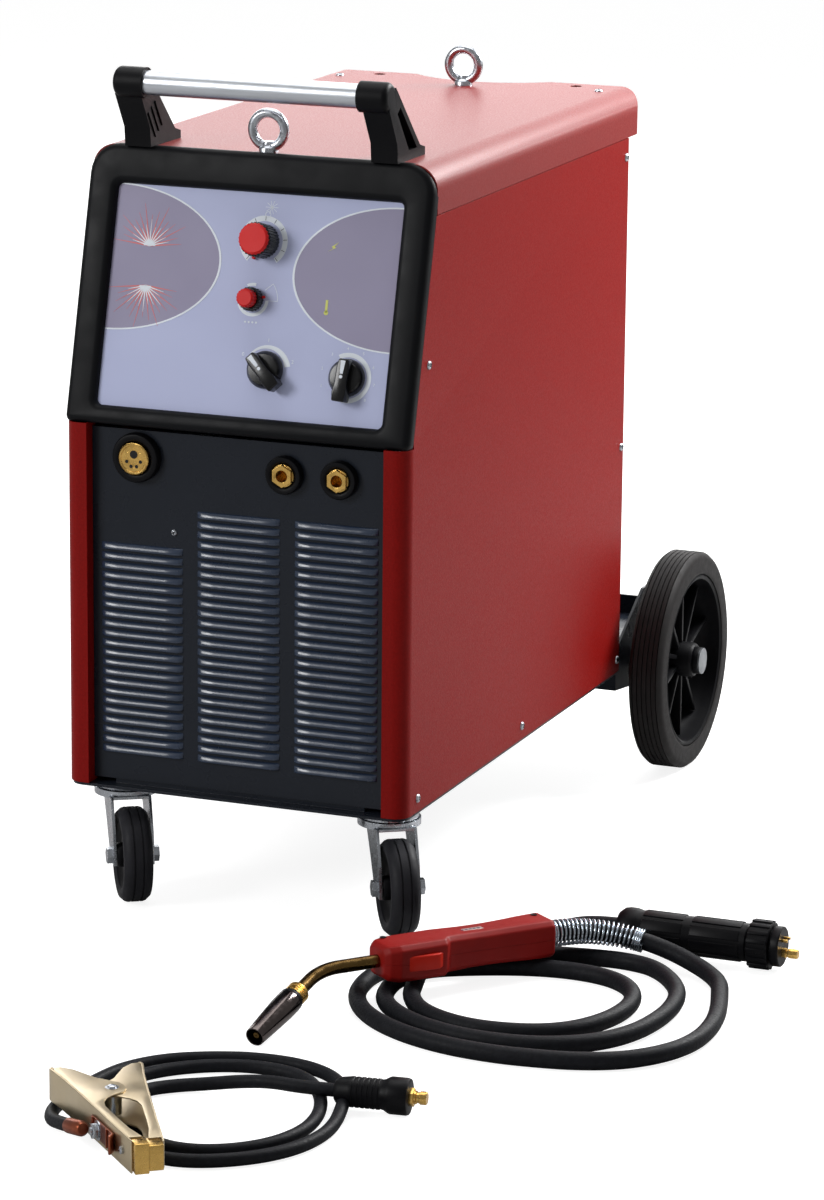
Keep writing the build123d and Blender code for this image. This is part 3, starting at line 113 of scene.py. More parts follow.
class WelderSettings(bpy.types.PropertyGroup):
    """Sizes and colours that a user would change."""

    side_red: colour("Side red", "Powder coat on the side panels", tone(128, 15, 12))
    lid_red: colour("Lid red", "Powder coat on the lid", tone(122, 19, 15))
    panel_grey: colour("Panel grey", "Paint on the louvred front and the chassis", tone(27, 31, 39))
    bezel_grey: colour("Bezel grey", "Moulded frame round the control plate", tone(10, 11, 14))
    plate_grey: colour("Plate grey", "Printed film on the control plate", tone(181, 187, 219))
    field_grey: colour("Field grey", "Darker printed fields on the control plate", tone(150, 145, 170))
    torch_red: colour("Torch red", "Moulded torch handle", tone(134, 18, 14))
    trigger_red: colour("Trigger red", "Moulded torch trigger", tone(190, 34, 18))
    cable_black: colour("Cable black", "Rubber of both cables", tone(20, 21, 25))
    louvre_lift: FloatProperty(name="Louvre lift", description="How far a louvre stands out", default=0.0042,
                               min=0.001, max=0.008, unit="LENGTH")
    edge_round: FloatProperty(name="Edge round", description="Rounding on folded sheet edges", default=0.0008,
                              min=0.0001, max=0.003, unit="LENGTH")
    torch_cable: FloatProperty(name="Torch cable", description="Diameter of the torch cable", default=0.0177,
                               min=0.01, max=0.03, unit="LENGTH")
    earth_cable: FloatProperty(name="Earth cable", description="Diameter of the earth cable", default=0.0127,
                               min=0.006, max=0.02, unit="LENGTH")
    spring_turns: IntProperty(name="Spring turns", description="Turns in the torch's bend spring", default=24,
                              min=8, max=60)


# ---------------------------------------------------------------- finishes
def shader(name, base, rough, metal=0.0, **sockets):
    """A material with its own Principled shader, and the node tree to build on."""
    made = bpy.data.materials.get(name)
    if made:
        return made, None, None
    made = bpy.data.materials.new(name)
    made.use_nodes = True
    tree = made.node_tree
    body = tree.nodes["Principled BSDF"]
    body.inputs["Base Color"].default_value = (*base, 1)
    body.inputs["Roughness"].default_value = rough
    body.inputs["Metallic"].default_value = metal
    for socket, value in sockets.items():
        body.inputs[socket.replace("_", " ")].default_value = value
    return made, tree, body


def noise(tree, scale, detail=3.0, stretch=(1, 1, 1)):
    """Noise on object coordinates, stretched along an axis where the finish is brushed."""
    where = tree.nodes.new("ShaderNodeTexCoord")
    spread = tree.nodes.new("ShaderNodeMapping")
    spread.inputs["Scale"].default_value = stretch
    tree.links.new(where.outputs["Object"], spread.inputs["Vector"])
    grain = tree.nodes.new("ShaderNodeTexNoise")
    grain.inputs["Scale"].default_value = scale
    grain.inputs["Detail"].default_value = detail
    tree.links.new(spread.outputs["Vector"], grain.inputs["Vector"])
    return grain.outputs["Fac"]


def ramp(tree, value, low, high, start=0.35, end=0.65):
    """Two colours or greys mixed by a value."""
    mix = tree.nodes.new("ShaderNodeValToRGB")
    mix.color_ramp.elements[0].position = start
    mix.color_ramp.elements[1].position = end
    mix.color_ramp.elements[0].color = (*low, 1)
    mix.color_ramp.elements[1].color = (*high, 1)
    tree.links.new(value, mix.inputs["Fac"])
    return mix.outputs["Color"]


def spread_tone(tree, body, base, amount, scale, stretch=(1, 1, 1)):
    low = [max(0, c * (1 - amount)) for c in base]
    high = [min(1, c * (1 + amount)) for c in base]
    tree.links.new(ramp(tree, noise(tree, scale, 4, stretch), low, high), body.inputs["Base Color"])


def spread_rough(tree, body, low, high, scale, stretch=(1, 1, 1)):
    tree.links.new(ramp(tree, noise(tree, scale, 3, stretch), (low,) * 3, (high,) * 3), body.inputs["Roughness"])


def bumped(tree, body, scale, height, detail=2.0, stretch=(1, 1, 1)):
    bump = tree.nodes.new("ShaderNodeBump")
    bump.inputs["Strength"].default_value = 1.0
    bump.inputs["Distance"].default_value = height
    tree.links.new(noise(tree, scale, detail, stretch), bump.inputs["Height"])
    tree.links.new(bump.outputs["Normal"], body.inputs["Normal"])


def finish(name, base, rough, metal=0.0, tones=(0.06, 12), gloss=0.05, grain=(900, 0.00004), stretch=(1, 1, 1),
           **sockets):
    """A finish with a slow change of tone, a change of gloss and a fine grain."""
    if not metal:
        sockets.setdefault("Specular_IOR_Level", 0.16)
    made, tree, body = shader(name, base, rough, metal, **sockets)
    if tree:
        spread_tone(tree, body, base, tones[0], tones[1], stretch)
        spread_rough(tree, body, rough - gloss, rough + gloss, tones[1] * 3, stretch)
        bumped(tree, body, grain[0], grain[1], 2, stretch)
    return made


def powder_coat(name, base, shine):
    """Fine textured powder coat: small soft pimples under a satin skin."""
    made, tree, body = shader(name, base, 0.42, Specular_IOR_Level=shine)
    if tree:
        spread_tone(tree, body, base, 0.07, 380)
        spread_rough(tree, body, 0.36, 0.5, 650)
        bumped(tree, body, 620, 0.00022, 1.5)
    return made


def finishes():
    s = bpy.context.scene.welder
    f = finish
    return {
        "side": powder_coat("side_powder_coat", s.side_red, 0.09),
        "lid": powder_coat("lid_powder_coat", s.lid_red, 0.32),
        "panel": f("chassis_paint", s.panel_grey, 0.3, tones=(0.03, 12), grain=(700, 0.00003),
                   Specular_IOR_Level=0.22),
        # The louvres' finish is a lighter, bluer copy of the chassis paint of the same pressed sheet: a painted
        # highlight for the overhead light that the hoods catch.
        "louvre": f("louvre_paint_with_painted_sheen", tone(40, 52, 72), 0.26, grain=(300, 0.000004), Specular_IOR_Level=0.7),
        "bezel": f("bezel_moulding", s.bezel_grey, 0.46, grain=(1400, 0.00006), Specular_IOR_Level=0.13),
        "plate": f("control_film", s.plate_grey, 0.42, tones=(0.02, 6), grain=(2200, 0.00001)),
        "field": f("control_film_field", s.field_grey, 0.42, tones=(0.03, 6), grain=(2200, 0.00001)),
        "print_white": f("print_white", tone(226, 232, 240), 0.45),
        "print_rose": f("print_rose", tone(214, 120, 120), 0.5),
        "print_dark": f("print_dark", tone(60, 62, 84), 0.5),
        "print_yellow": f("print_yellow", tone(206, 208, 118), 0.5),
        "black": f("black_moulding", tone(10, 10, 13), 0.44, grain=(1300, 0.00006), Specular_IOR_Level=0.12),
        "gloss_black": f("knob_black", tone(9, 9, 11), 0.22, grain=(600, 0.00001), Specular_IOR_Level=0.4),
        "cap_red": f("cap_red", tone(206, 34, 34), 0.36),
        "zinc": f("bright_zinc", tone(186, 190, 196), 0.28, 1.0, tones=(0.12, 60), gloss=0.1),
        "dull_zinc": f("dull_zinc", tone(140, 143, 147), 0.42, 1.0, tones=(0.15, 45), gloss=0.1),
        "tube": f("brushed_tube", tone(206, 210, 216), 0.34, 1.0, tones=(0.05, 8), gloss=0.05,
                  grain=(260, 0.00002), stretch=(1, 40, 40)),
        "brass": f("turned_brass", tone(214, 174, 98), 0.27, 1.0, tones=(0.12, 80), gloss=0.08),
        "neck": f("neck_brass", tone(108, 84, 46), 0.24, 1.0, tones=(0.15, 30), gloss=0.08),
        "nozzle": f("nozzle_nickel", tone(94, 86, 84), 0.14, 1.0, tones=(0.15, 60), gloss=0.05),
        "spring": f("spring_steel", tone(190, 200, 210), 0.2, 1.0, tones=(0.1, 200), gloss=0.06),
        "tyre": f("wheel_tyre", tone(33, 31, 31), 0.62, tones=(0.12, 40), grain=(900, 0.00015)),
        "tread": f("tread_rubber", tone(33, 33, 37), 0.55, tones=(0.12, 60), grain=(900, 0.0001)),
        "cable": f("cord_sheath", s.cable_black, 0.55, tones=(0.2, 160), gloss=0.08, grain=(420, 0.0003),
                   Specular_IOR_Level=0.12),
        "torch": f("torch_moulding", s.torch_red, 0.5, tones=(0.06, 30), grain=(1500, 0.00005)),
        "trigger": f("trigger_moulding", s.trigger_red, 0.36, grain=(1500, 0.00004)),
        "label": f("label_foil", tone(168, 150, 146), 0.4, 0.3),
        "clamp": f("clamp_passivated", tone(203, 187, 157), 0.4, 1.0, tones=(0.1, 9), gloss=0.06),
        "copper": f("copper_lug", tone(150, 82, 58), 0.35, 1.0, tones=(0.2, 60)),
        "winding": f("wound_copper", tone(140, 70, 40), 0.35, 0.8, tones=(0.15, 60)),
        "board": f("board_green", tone(30, 74, 52), 0.5),
    }


# ---------------------------------------------------------------- shapes, in millimetres
def box(x0, x1, y0, y1, z0, z1):
    part = bmesh.new()
    bmesh.ops.create_cube(part, size=1)
    bmesh.ops.scale(part, vec=(abs(x1 - x0), abs(y1 - y0), abs(z1 - z0)), verts=part.verts)
    bmesh.ops.translate(part, vec=((x0 + x1) / 2, (y0 + y1) / 2, (z0 + z1) / 2), verts=part.verts)
    return part


def rod(a, b, radius, sides):
    """A round bar from a to b."""
    a, b = Vector(a), Vector(b)
    part = bmesh.new()
    bmesh.ops.create_cone(part, cap_ends=True, segments=sides, radius1=radius, radius2=radius, depth=(b - a).length)
    turn = Vector((0, 0, 1)).rotation_difference(b - a).to_matrix().to_4x4()
    bmesh.ops.transform(part, matrix=Matrix.Translation((a + b) / 2) @ turn, verts=part.verts)
    return part


def slab(outline, low, high):
    """An (x, y) outline given thickness from low to high along Z."""
    part = bmesh.new()
    face = part.faces.new([part.verts.new((x, y, low)) for x, y in outline])
    grown = bmesh.ops.extrude_face_region(part, geom=[face])["geom"]
    bmesh.ops.translate(part, vec=(0, 0, high - low), verts=[v for v in grown if isinstance(v, bmesh.types.BMVert)])
    return part


def polygon(sides, radius, start=0.0, centre=0.0):
    """The corners of a regular outline, with its middle on the X axis."""
    angles = [math.tau * (i + start) / sides for i in range(sides)]
    return [(centre + radius * math.cos(a), radius * math.sin(a)) for a in angles]


def turned(profile, steps=48, closed=False):
    """A (radius, height) profile spun about Z."""
    part = bmesh.new()
    points = [part.verts.new((r, 0, z)) for r, z in profile]
    edges = [part.edges.new(pair) for pair in zip(points, points[1:])]
    if closed:
        edges.append(part.edges.new((points[-1], points[0])))
    bmesh.ops.spin(part, geom=points + edges, cent=(0, 0, 0), axis=(0, 0, 1), angle=math.tau, steps=steps,
                   use_merge=True)
    return part


def rounded(part, width, segments=2, sharper=30):
    """Bevels the edges that turn by more than an angle."""
    bmesh.ops.remove_doubles(part, verts=part.verts, dist=1e-4)
    bmesh.ops.recalc_face_normals(part, faces=part.faces)
    sharp = [e for e in part.edges if len(e.link_faces) == 2 and e.calc_face_angle() > math.radians(sharper)]
    bmesh.ops.bevel(part, geom=sharp, offset=width, segments=segments, profile=0.5, affect="EDGES", material=-1,
                    clamp_overlap=True)
    return part


def ring_of(count, make):
    """Copies of a shape turned about Z, as one shape."""
    whole = bmesh.new()
    for i in range(count):
        add(whole, make(), Matrix.Rotation(i * math.tau / count, 4, "Z"))
    return whole


def add(whole, part, place=Matrix(), material=None):
    """Puts a shape into a larger one, in its place and with its own material."""
    bmesh.ops.remove_doubles(part, verts=part.verts, dist=1e-4)
    bmesh.ops.recalc_face_normals(part, faces=part.faces)
    bmesh.ops.transform(part, matrix=place, verts=part.verts)
    if place.determinant() < 0:
        bmesh.ops.reverse_faces(part, faces=part.faces)
    if material is not None:
        for face in part.faces:
            face.material_index = material
    passing = bpy.data.meshes.new("passing")
    part.to_mesh(passing)
    part.free()
    whole.from_mesh(passing)
    bpy.data.meshes.remove(passing)
    return whole


def line(name, points, radius, sides=8):
    """An open NURBS spline through given control points in metres, with a round section."""
    route = bpy.data.curves.new(name, "CURVE")
    route.dimensions = "3D"
    spline = route.splines.new("NURBS")
    spline.points.add(len(points) - 1)
    for point, place in zip(spline.points, points):
        point.co = (*place, 1)
    spline.order_u = 3
    spline.use_endpoint_u = True
    spline.resolution_u = 8
    route.bevel_depth = radius
    route.bevel_resolution = sides
    route.use_fill_caps = True
    return bpy.data.objects.new(name, route)


def mesh_from(obj):
    """The shape of a curve as a bmesh, after which the curve is dropped."""
    mesh = bpy.data.meshes.new_from_object(obj)
    part = bmesh.new()
    part.from_mesh(mesh)
    bpy.data.meshes.remove(mesh)
    old = obj.data
    bpy.data.objects.remove(obj)
    bpy.data.curves.remove(old)
    return part


def seated(obj, body, replaced=(), smooth=38):
    """Smooth shading up to an angle, a place in the scene, and the body that the piece rides on."""
    for face in obj.data.polygons:
        face.use_smooth = True
    obj.data.set_sharp_from_angle(angle=math.radians(smooth))
    if obj.name not in bpy.context.scene.collection.objects:
        bpy.context.scene.collection.objects.link(obj)
    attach(obj, body)
    if replaced:
        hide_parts(*replaced)
    return obj


def piece(name, whole, body, materials, replaced=(), smooth=38):
    """A finished piece in metres, from a shape in millimetres."""
    bmesh.ops.scale(whole, vec=(MM, MM, MM), verts=whole.verts)
    mesh = bpy.data.meshes.new(name)
    whole.to_mesh(mesh)
    whole.free()
    for material in materials:
        mesh.materials.append(material)
    return seated(bpy.data.objects.new(name, mesh), body, replaced, smooth)


def formed(node, name, width, material, segments=2, angle=32, trim=None):
    """A CAD node's own shape with its loose triangles merged and its edges rounded."""
    whole = bmesh.new()
    whole.from_mesh(frame["nodes"][node].data)
    bmesh.ops.remove_doubles(whole, verts=whole.verts, dist=2e-6)
    bmesh.ops.dissolve_limit(whole, angle_limit=math.radians(0.6), verts=whole.verts, edges=whole.edges,
                             use_dissolve_boundaries=False)
    if trim:
        trim(whole)
    mesh = bpy.data.meshes.new(name)
    whole.to_mesh(mesh)
    whole.free()
    mesh.materials.clear()
    mesh.materials.append(material)
    obj = bpy.data.objects.new(name, mesh)
    soften = obj.modifiers.new("soften", "BEVEL")
    soften.width = width
    soften.segments = segments
    soften.limit_method = "ANGLE"
    soften.angle_limit = math.radians(angle)
    soften.harden_normals = True
    return seated(obj, frame["nodes"][node]["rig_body"], (node,), angle + 6)


def kept(node, *materials):
    """A CAD node that keeps its shape and gets a better finish."""
    mesh = frame["nodes"][node].data
    mesh.materials.clear()
    for material in materials:
        mesh.materials.append(material)


# ---------------------------------------------------------------- case
def round_tray_corners(whole):
    """Rounds the tray's two front corners to sit inside the side strips."""
    corners = [e for e in whole.edges if all(v.co.y < 0.0045 and abs(v.co.x) > 0.18 for v in e.verts)
               and abs(e.verts[0].co.z - e.verts[1].co.z) > 0.001]
    bmesh.ops.bevel(whole, geom=corners, offset=0.016, segments=5, profile=0.5, affect="EDGES", material=-1)


class CaseSheets(bpy.types.Operator):
    """Side panels, door, lid, chassis trays and back panel"""

    bl_idname = "welder.case"
    bl_label = "Case"

    def execute(self, context):
        f = finishes()
        s = bpy.context.scene.welder
        edge = s.edge_round
        formed("side_panel_right", "side_right", edge, f["side"])
        formed("side_panel_left", "side_left", edge, f["side"])
        formed("side_door", "service_door", edge, f["side"])
        formed("top_cover", "lid", edge, f["lid"])
        formed("door_latch", "door_turn", 0.0005, f["zinc"])
        formed("base_tray", "floor_tray", edge, f["panel"], trim=round_tray_corners)
        formed("bottle_tray", "gas_tray", edge, f["panel"])
        formed("rear_panel", "back_panel", 0.0005, f["panel"])
        formed("rear_inlets", "back_inlets", 0.0008, f["black"])
        kept("centre_bulkhead", f["dull_zinc"])
        return {"FINISHED"}


def pan_head(radius):
    """A round screw head with a cross recess, its seat at height 0. The recess is black bars standing on the zinc
    head: painted shade, not cut in.
    """
    head = turned([(0, -1), (radius, -1), (radius, 0.5), (radius * 0.86, 1.6), (radius * 0.5, 2.3), (0, 2.5)], 20)
    whole = add(bmesh.new(), head, material=0)
    for turn in (0, math.pi / 2):
        # Black bars stand in for the cross recess: painted shade in the recess.
        cross = box(-radius * 0.55, radius * 0.55, -0.45, 0.45, 1.2, 2.56)
        add(whole, cross, Matrix.Rotation(turn + 0.4, 4, "Z"), material=1)
    return whole


class CaseScrews(bpy.types.Operator):
    """Pan head screws round the case"""

    bl_idname = "welder.screws"
    bl_label = "Case screws"

    def execute(self, context):
        f = finishes()
        whole = bmesh.new()
        for side in (-1, 1):
            out = Matrix.Rotation(side * math.pi / 2, 4, "Y")
            for y, z in CASE_SIDE_SCREWS:
                add(whole, pan_head(4.6), Matrix.Translation((side * CASE_HALF, y, z)) @ out)
            add(whole, pan_head(4.6), Matrix.Translation((side * 155, 655, LID_TOP)))
        front = Matrix.Rotation(math.pi / 2, 4, "X")
        add(whole, pan_head(3.4), Matrix.Translation((-72, PANEL_Y, 402)) @ front)
        piece("case_screws", whole, "cart", [f["zinc"], f["black"]], ("panel_screws",))
        return {"FINISHED"}


# ---------------------------------------------------------------- control face
def arc_band(radius, width, start, end, steps=40, height=0.25, taper=1.0):
    """A flat band along an arc, from start to end in degrees counted from the X axis."""
    def point(t, r):
        a = math.radians(start + (end - start) * t)
        return r * math.cos(a), r * math.sin(a)

    outer, inner = [], []
    for i in range(steps + 1):
        t = i / steps
        w = width * (taper + (1 - taper) * t)
        outer.append(point(t, radius + w / 2))
        inner.append(point(t, radius - w / 2))
    return slab(outer + inner[::-1], 0, height)


def half_oval(side, centre, reach, half):
    """Points from the top to the foot of half an oval, which opens at the plate's edge."""
    angles = [math.pi / 2 - math.pi * i / 40 for i in range(41)]
    return [(centre[0] + side * reach * math.cos(a), centre[1] + half * math.sin(a)) for a in angles]


def burst(rays, reach, low, high, up):
    """Thin rays fanning out from a point, of changing length."""
    whole = bmesh.new()
    for i in range(rays):
        a = math.radians(low + (high - low) * i / (rays - 1))
        length = reach * (0.55 + 0.45 * abs(math.sin(2.1 * i + 0.6)))
        ray = slab([(0, -0.9), (length, -0.12), (length, 0.12), (0, 0.9)], 0, up)
        add(whole, ray, Matrix.Rotation(a, 4, "Z"))
    return whole


def digit(text, size):
    """A printed number as a flat mesh in millimetres, centred on the origin."""
    letters = bpy.data.curves.new("digit", "FONT")
    letters.body = text
    letters.size = size
    letters.align_x = "CENTER"
    letters.align_y = "CENTER"
    letters.extrude = 0.12
    return mesh_from(bpy.data.objects.new("digit", letters))


def on_plate(x, along, up=0.0):
    return FRONT @ Matrix.Translation((x, along, up - PLATE_DEPTH))


def frame_loop(half, low, high, radii, grow, up):
    """A rounded rectangle's points, grown outwards by an amount, at one height."""
    corners = ((half, high, 0, radii[0]), (-half, high, 90, radii[0]), (-half, low, 180, radii[1]),
               (half, low, 270, radii[1]))
    points = []
    for x, y, start, radius in corners:
        inward_x, inward_y = (-1 if x > 0 else 1), (-1 if y == high else 1)
        for i in range(9):
            a = math.radians(start + 90 * i / 8)
            points.append((x + inward_x * radius + (radius + grow) * math.cos(a),
                           y + inward_y * radius + (radius + grow) * math.sin(a), up))
    return points


def rolled_frame():
    """The bezel's rolled section, taken round its outline and round its window."""
    outer = ((0, -14), (0, -8), (-0.5, -5), (-2, -2.4), (-4.6, -0.7), (-8, 0))
    inner = ((7.5, 0), (4, -0.7), (1.6, -2.6), (0.4, -5), (0, -7.9), (0, -14))
    part = bmesh.new()
    loops = [frame_loop(190, 0.4, 290, (32, 8), grow, up) for grow, up in outer]
    loops += [frame_loop(157.5, 21, 249, (6, 6), grow, up) for grow, up in inner]
    rings = []
    for loop in loops:
        points = [part.verts.new(p) for p in loop]
        rings.append([part.edges.new((a, b)) for a, b in zip(points, points[1:] + points[:1])])
    for one, two in zip(rings, rings[1:] + rings[:1]):
        bmesh.ops.bridge_loops(part, edges=one + two)
    bmesh.ops.transform(part, matrix=FRONT, verts=part.verts)
    for v in part.verts:
        v.co.z = max(v.co.z, STRIP_TOP + 0.3)
    return part


class ControlFace(bpy.types.Operator):
    """Moulded frame and the printed control plate"""

    bl_idname = "welder.control_face"
    bl_label = "Control face"

    def execute(self, context):
        f = finishes()
        piece("bezel", add(bmesh.new(), rolled_frame()), "cart", [f["bezel"]], ("front_bezel",), 50)
        kept("control_plate", f["plate"])
        whole = bmesh.new()
        fields = (((-157.3, 174.0), 1, 119.5, 74.0), ((157.3, 170.5), -1, 111.5, 72.0))
        for centre, side, reach, half in fields:
            edge = half_oval(side, centre, reach, half)
            add(whole, slab(edge[::side], 0, 0.2), on_plate(0, 0), 0)
            rim = half_oval(side, centre, reach + 2.2, half + 1.6) + edge[::-1]
            add(whole, slab(rim, 0, 0.3), on_plate(0, 0), 1)
        for up, flip in ((187.0, 1), (146.0, -1)):
            spot = on_plate(-117, up, 0.2)
            turn = Matrix.Diagonal((1, flip, 1, 1))
            add(whole, burst(15, 44, 6, 174, 0.12), spot @ turn, 2)
            add(whole, burst(11, 27, 14, 166, 0.2), spot @ turn, 1)
            glow = slab([(6.5 * math.cos(a), 4.6 * abs(math.sin(a)) * flip) for a in
                         [math.pi * i / 16 for i in range(17)]], 0, 0.3)
            add(whole, glow, spot, 1)
        x, along = KNOB_AT["wire_speed"]
        add(whole, arc_band(23.5, 5.6, -52, 232), on_plate(x, along), 1)
        for i in range(11):
            a = math.radians(-48 + 276 * i / 10)
            tick = box(21.4, 25.6, -0.25, 0.25, 0.25, 0.4)
            add(whole, tick, on_plate(x, along) @ Matrix.Rotation(a, 4, "Z"), 3)
        x, along = KNOB_AT["spot_timer"]
        add(whole, arc_band(15.5, 3.4, -160, 0), on_plate(x, along), 1)
        add(whole, arc_band(15.5, 3.0, 82, 118), on_plate(x, along), 1)
        add(whole, arc_band(27.0, 0.5, 0, 40), on_plate(x, along), 1)
        for a in (0, 40):
            stroke = box(16, 27, -0.25, 0.25, 0, 0.25)
            add(whole, stroke, on_plate(x, along) @ Matrix.Rotation(math.radians(a), 4, "Z"), 1)
        for i in range(4):
            add(whole, turned([(0, 0), (1.1, 0), (1.1, 0.25), (0, 0.25)], 10), on_plate(x - 6 + 4 * i, along - 23), 1)
        x, along = KNOB_AT["main_switch"]
        add(whole, arc_band(23.5, 6.5, 150, 12, taper=0.2), on_plate(x, along), 1)
        for text, angle in (("0", 152), ("1", 90), ("2", 20)):
            a = math.radians(angle)
            add(whole, digit(text, 5.5), on_plate(x + 30 * math.cos(a), along + 30 * math.sin(a), 0.12), 1)
        x, along = KNOB_AT["voltage"]
        add(whole, arc_band(23.2, 4.6, 118, -100), on_plate(x, along), 1)
        for i in range(8):
            a = math.radians(200 - 35 * i)
            add(whole, digit(str(i + 1), 4.2), on_plate(x + 29.5 * math.cos(a), along + 29.5 * math.sin(a), 0.12), 1)
        bolt = [(-2.2, -7), (1.0, -1.2), (-1.6, -1.2), (2.6, 7), (0.9, 0.8), (3.2, 0.8)]
        add(whole, slab(bolt, 0.2, 0.45), on_plate(85, 200) @ Matrix.Rotation(-0.5, 4, "Z"), 4)
        add(whole, turned([(0, 0.2), (2.4, 0.2), (2.4, 0.45), (0, 0.45)], 16), on_plate(84, 133), 4)
        add(whole, box(-1.3, 1.3, 0, 13, 0.2, 0.45), on_plate(84, 133), 4)
        feed = on_plate(14, 235)
        for i in range(5):
            add(whole, box(-7, 7, -0.25, 0.25, 0, 0.25), feed @ Matrix.Rotation(i * 0.62, 4, "Z"), 1)
        add(whole, turned([(2.6, 0), (3.2, 0), (3.2, 0.25), (2.6, 0.25)], 24, True), on_plate(10.5, 227.5), 1)
        piece("plate_print", whole, "cart",
              [f["field"], f["print_white"], f["print_rose"], f["print_dark"], f["print_yellow"]])
        return {"FINISHED"}


def fluted(radius, low, high, ribs, material, top_round=1.0):
    """A round grip with ribs along its side."""
    whole = add(bmesh.new(), turned([(0, low), (radius - 0.7, low), (radius - 0.7, high - top_round),
                                     (radius - 0.7 - top_round, high), (0, high)], 48), material=material)

    def rib():
        return rounded(box(radius - 1.6, radius, -0.75, 0.75, low + 0.2, high - top_round - 0.2), 0.3, 1)

    return add(whole, ring_of(ribs, rib), material=material)


class ControlKnobs(bpy.types.Operator):
    """Two dials and two rotary switches"""

    bl_idname = "welder.knobs"
    bl_label = "Knobs"

    def execute(self, context):
        f = finishes()
        materials = [f["gloss_black"], f["cap_red"], f["print_white"]]
        whole = bmesh.new()
        spot = on_plate(*KNOB_AT["wire_speed"])
        add(whole, fluted(17.6, 0.6, 25.0, 30, 0), spot)
        add(whole, fluted(16.4, 25.0, 29.5, 24, 1, 1.6), spot)
        add(whole, rounded(box(14, 20.5, -1.6, 1.6, 0.8, 5), 0.6), spot @ Matrix.Rotation(-2.0, 4, "Z"), 1)
        piece("wire_speed_grip", whole, "wire_speed", materials, ("wire_speed_knob",))
        whole = bmesh.new()
        spot = on_plate(*KNOB_AT["spot_timer"])
        add(whole, fluted(12.2, 0.6, 12.0, 22, 0), spot)
        add(whole, fluted(9.6, 12.0, 23.0, 18, 1, 1.4), spot)
        add(whole, rounded(box(10, 14.5, -1.3, 1.3, 0.8, 4), 0.5), spot @ Matrix.Rotation(0.25, 4, "Z"), 1)
        piece("spot_timer_grip", whole, "spot_timer", materials, ("spot_timer_knob",))
        for key, body, turn in (("main_switch", "main_switch", 45), ("voltage", "voltage_switch", -4)):
            spot = on_plate(*KNOB_AT[key]) @ Matrix.Rotation(math.radians(turn), 4, "Z")
            whole = bmesh.new()
            dome = turned([(0, 0.6), (19, 0.6), (19.4, 2.5), (18.6, 6), (15.5, 9.5), (0, 11)], 48)
            add(whole, dome, spot, 0)
            lever = [(-5.0, 18.2), (5.0, 18.2), (6.6, 12), (6.4, -6), (7.6, -16), (6.6, -25), (-6.6, -25),
                     (-7.6, -16), (-6.4, -6), (-6.6, 12)]
            add(whole, rounded(slab(lever, 4, 19), 1.4, 3), spot, 0)
            add(whole, rounded(slab([(-1.6, 3), (1.6, 3), (2.6, 16.5), (-2.6, 16.5)], 18.8, 19.3), 0.15, 1), spot, 2)
            add(whole, turned([(0, 18.9), (1.8, 18.9), (1.8, 19.3), (0, 19.3)], 16), spot, 2)
            piece(f"{key}_grip", whole, body, materials, (f"{key}_knob",))
        return {"FINISHED"}


# ---------------------------------------------------------------- louvred front
def hood(width, lift):
    """One pressed louvre: a grid curved out of the sheet, pinched flat at its ends, open along its lower lip."""
    part = bmesh.new()
    bmesh.ops.create_grid(part, x_segments=8, y_segments=4, size=0.5)
    for v in part.verts:
        u, t = v.co.x * 2, v.co.y + 0.5
        u = math.copysign(1 - (1 - abs(u)) ** 3, u)
        pinch = max(0.0, 1 - abs(u) ** 24)
        v.co = Vector((u * width / 2, -lift / MM * math.cos(t * math.pi / 2) ** 0.75 * pinch + 0.2, 7.2 * t))
    return part


class LouvredFront(bpy.types.Operator):
    """Front sheet with three columns of pressed louvres"""

    bl_idname = "welder.front"
    bl_label = "Louvred front"

    def execute(self, context):
        f = finishes()
        s = bpy.context.scene.welder
        formed("front_panel", "louvre_panel", 0.0006, f["panel"])
        whole = bmesh.new()
        for x, count in LOUVRE_COLUMNS:
            for i in range(count):
                spot = Matrix.Translation((x, PANEL_Y, LOUVRE_LOW + i * LOUVRE_PITCH))
                add(whole, hood(92, s.louvre_lift), spot)
        for face in whole.faces:
            if face.normal.y > 0:
                face.normal_flip()
        obj = piece("louvres", whole, "cart", [f["louvre"]])
        wall = obj.modifiers.new("wall", "SOLIDIFY")
        wall.thickness = 0.0008
        wall.offset = -1
        return {"FINISHED"}


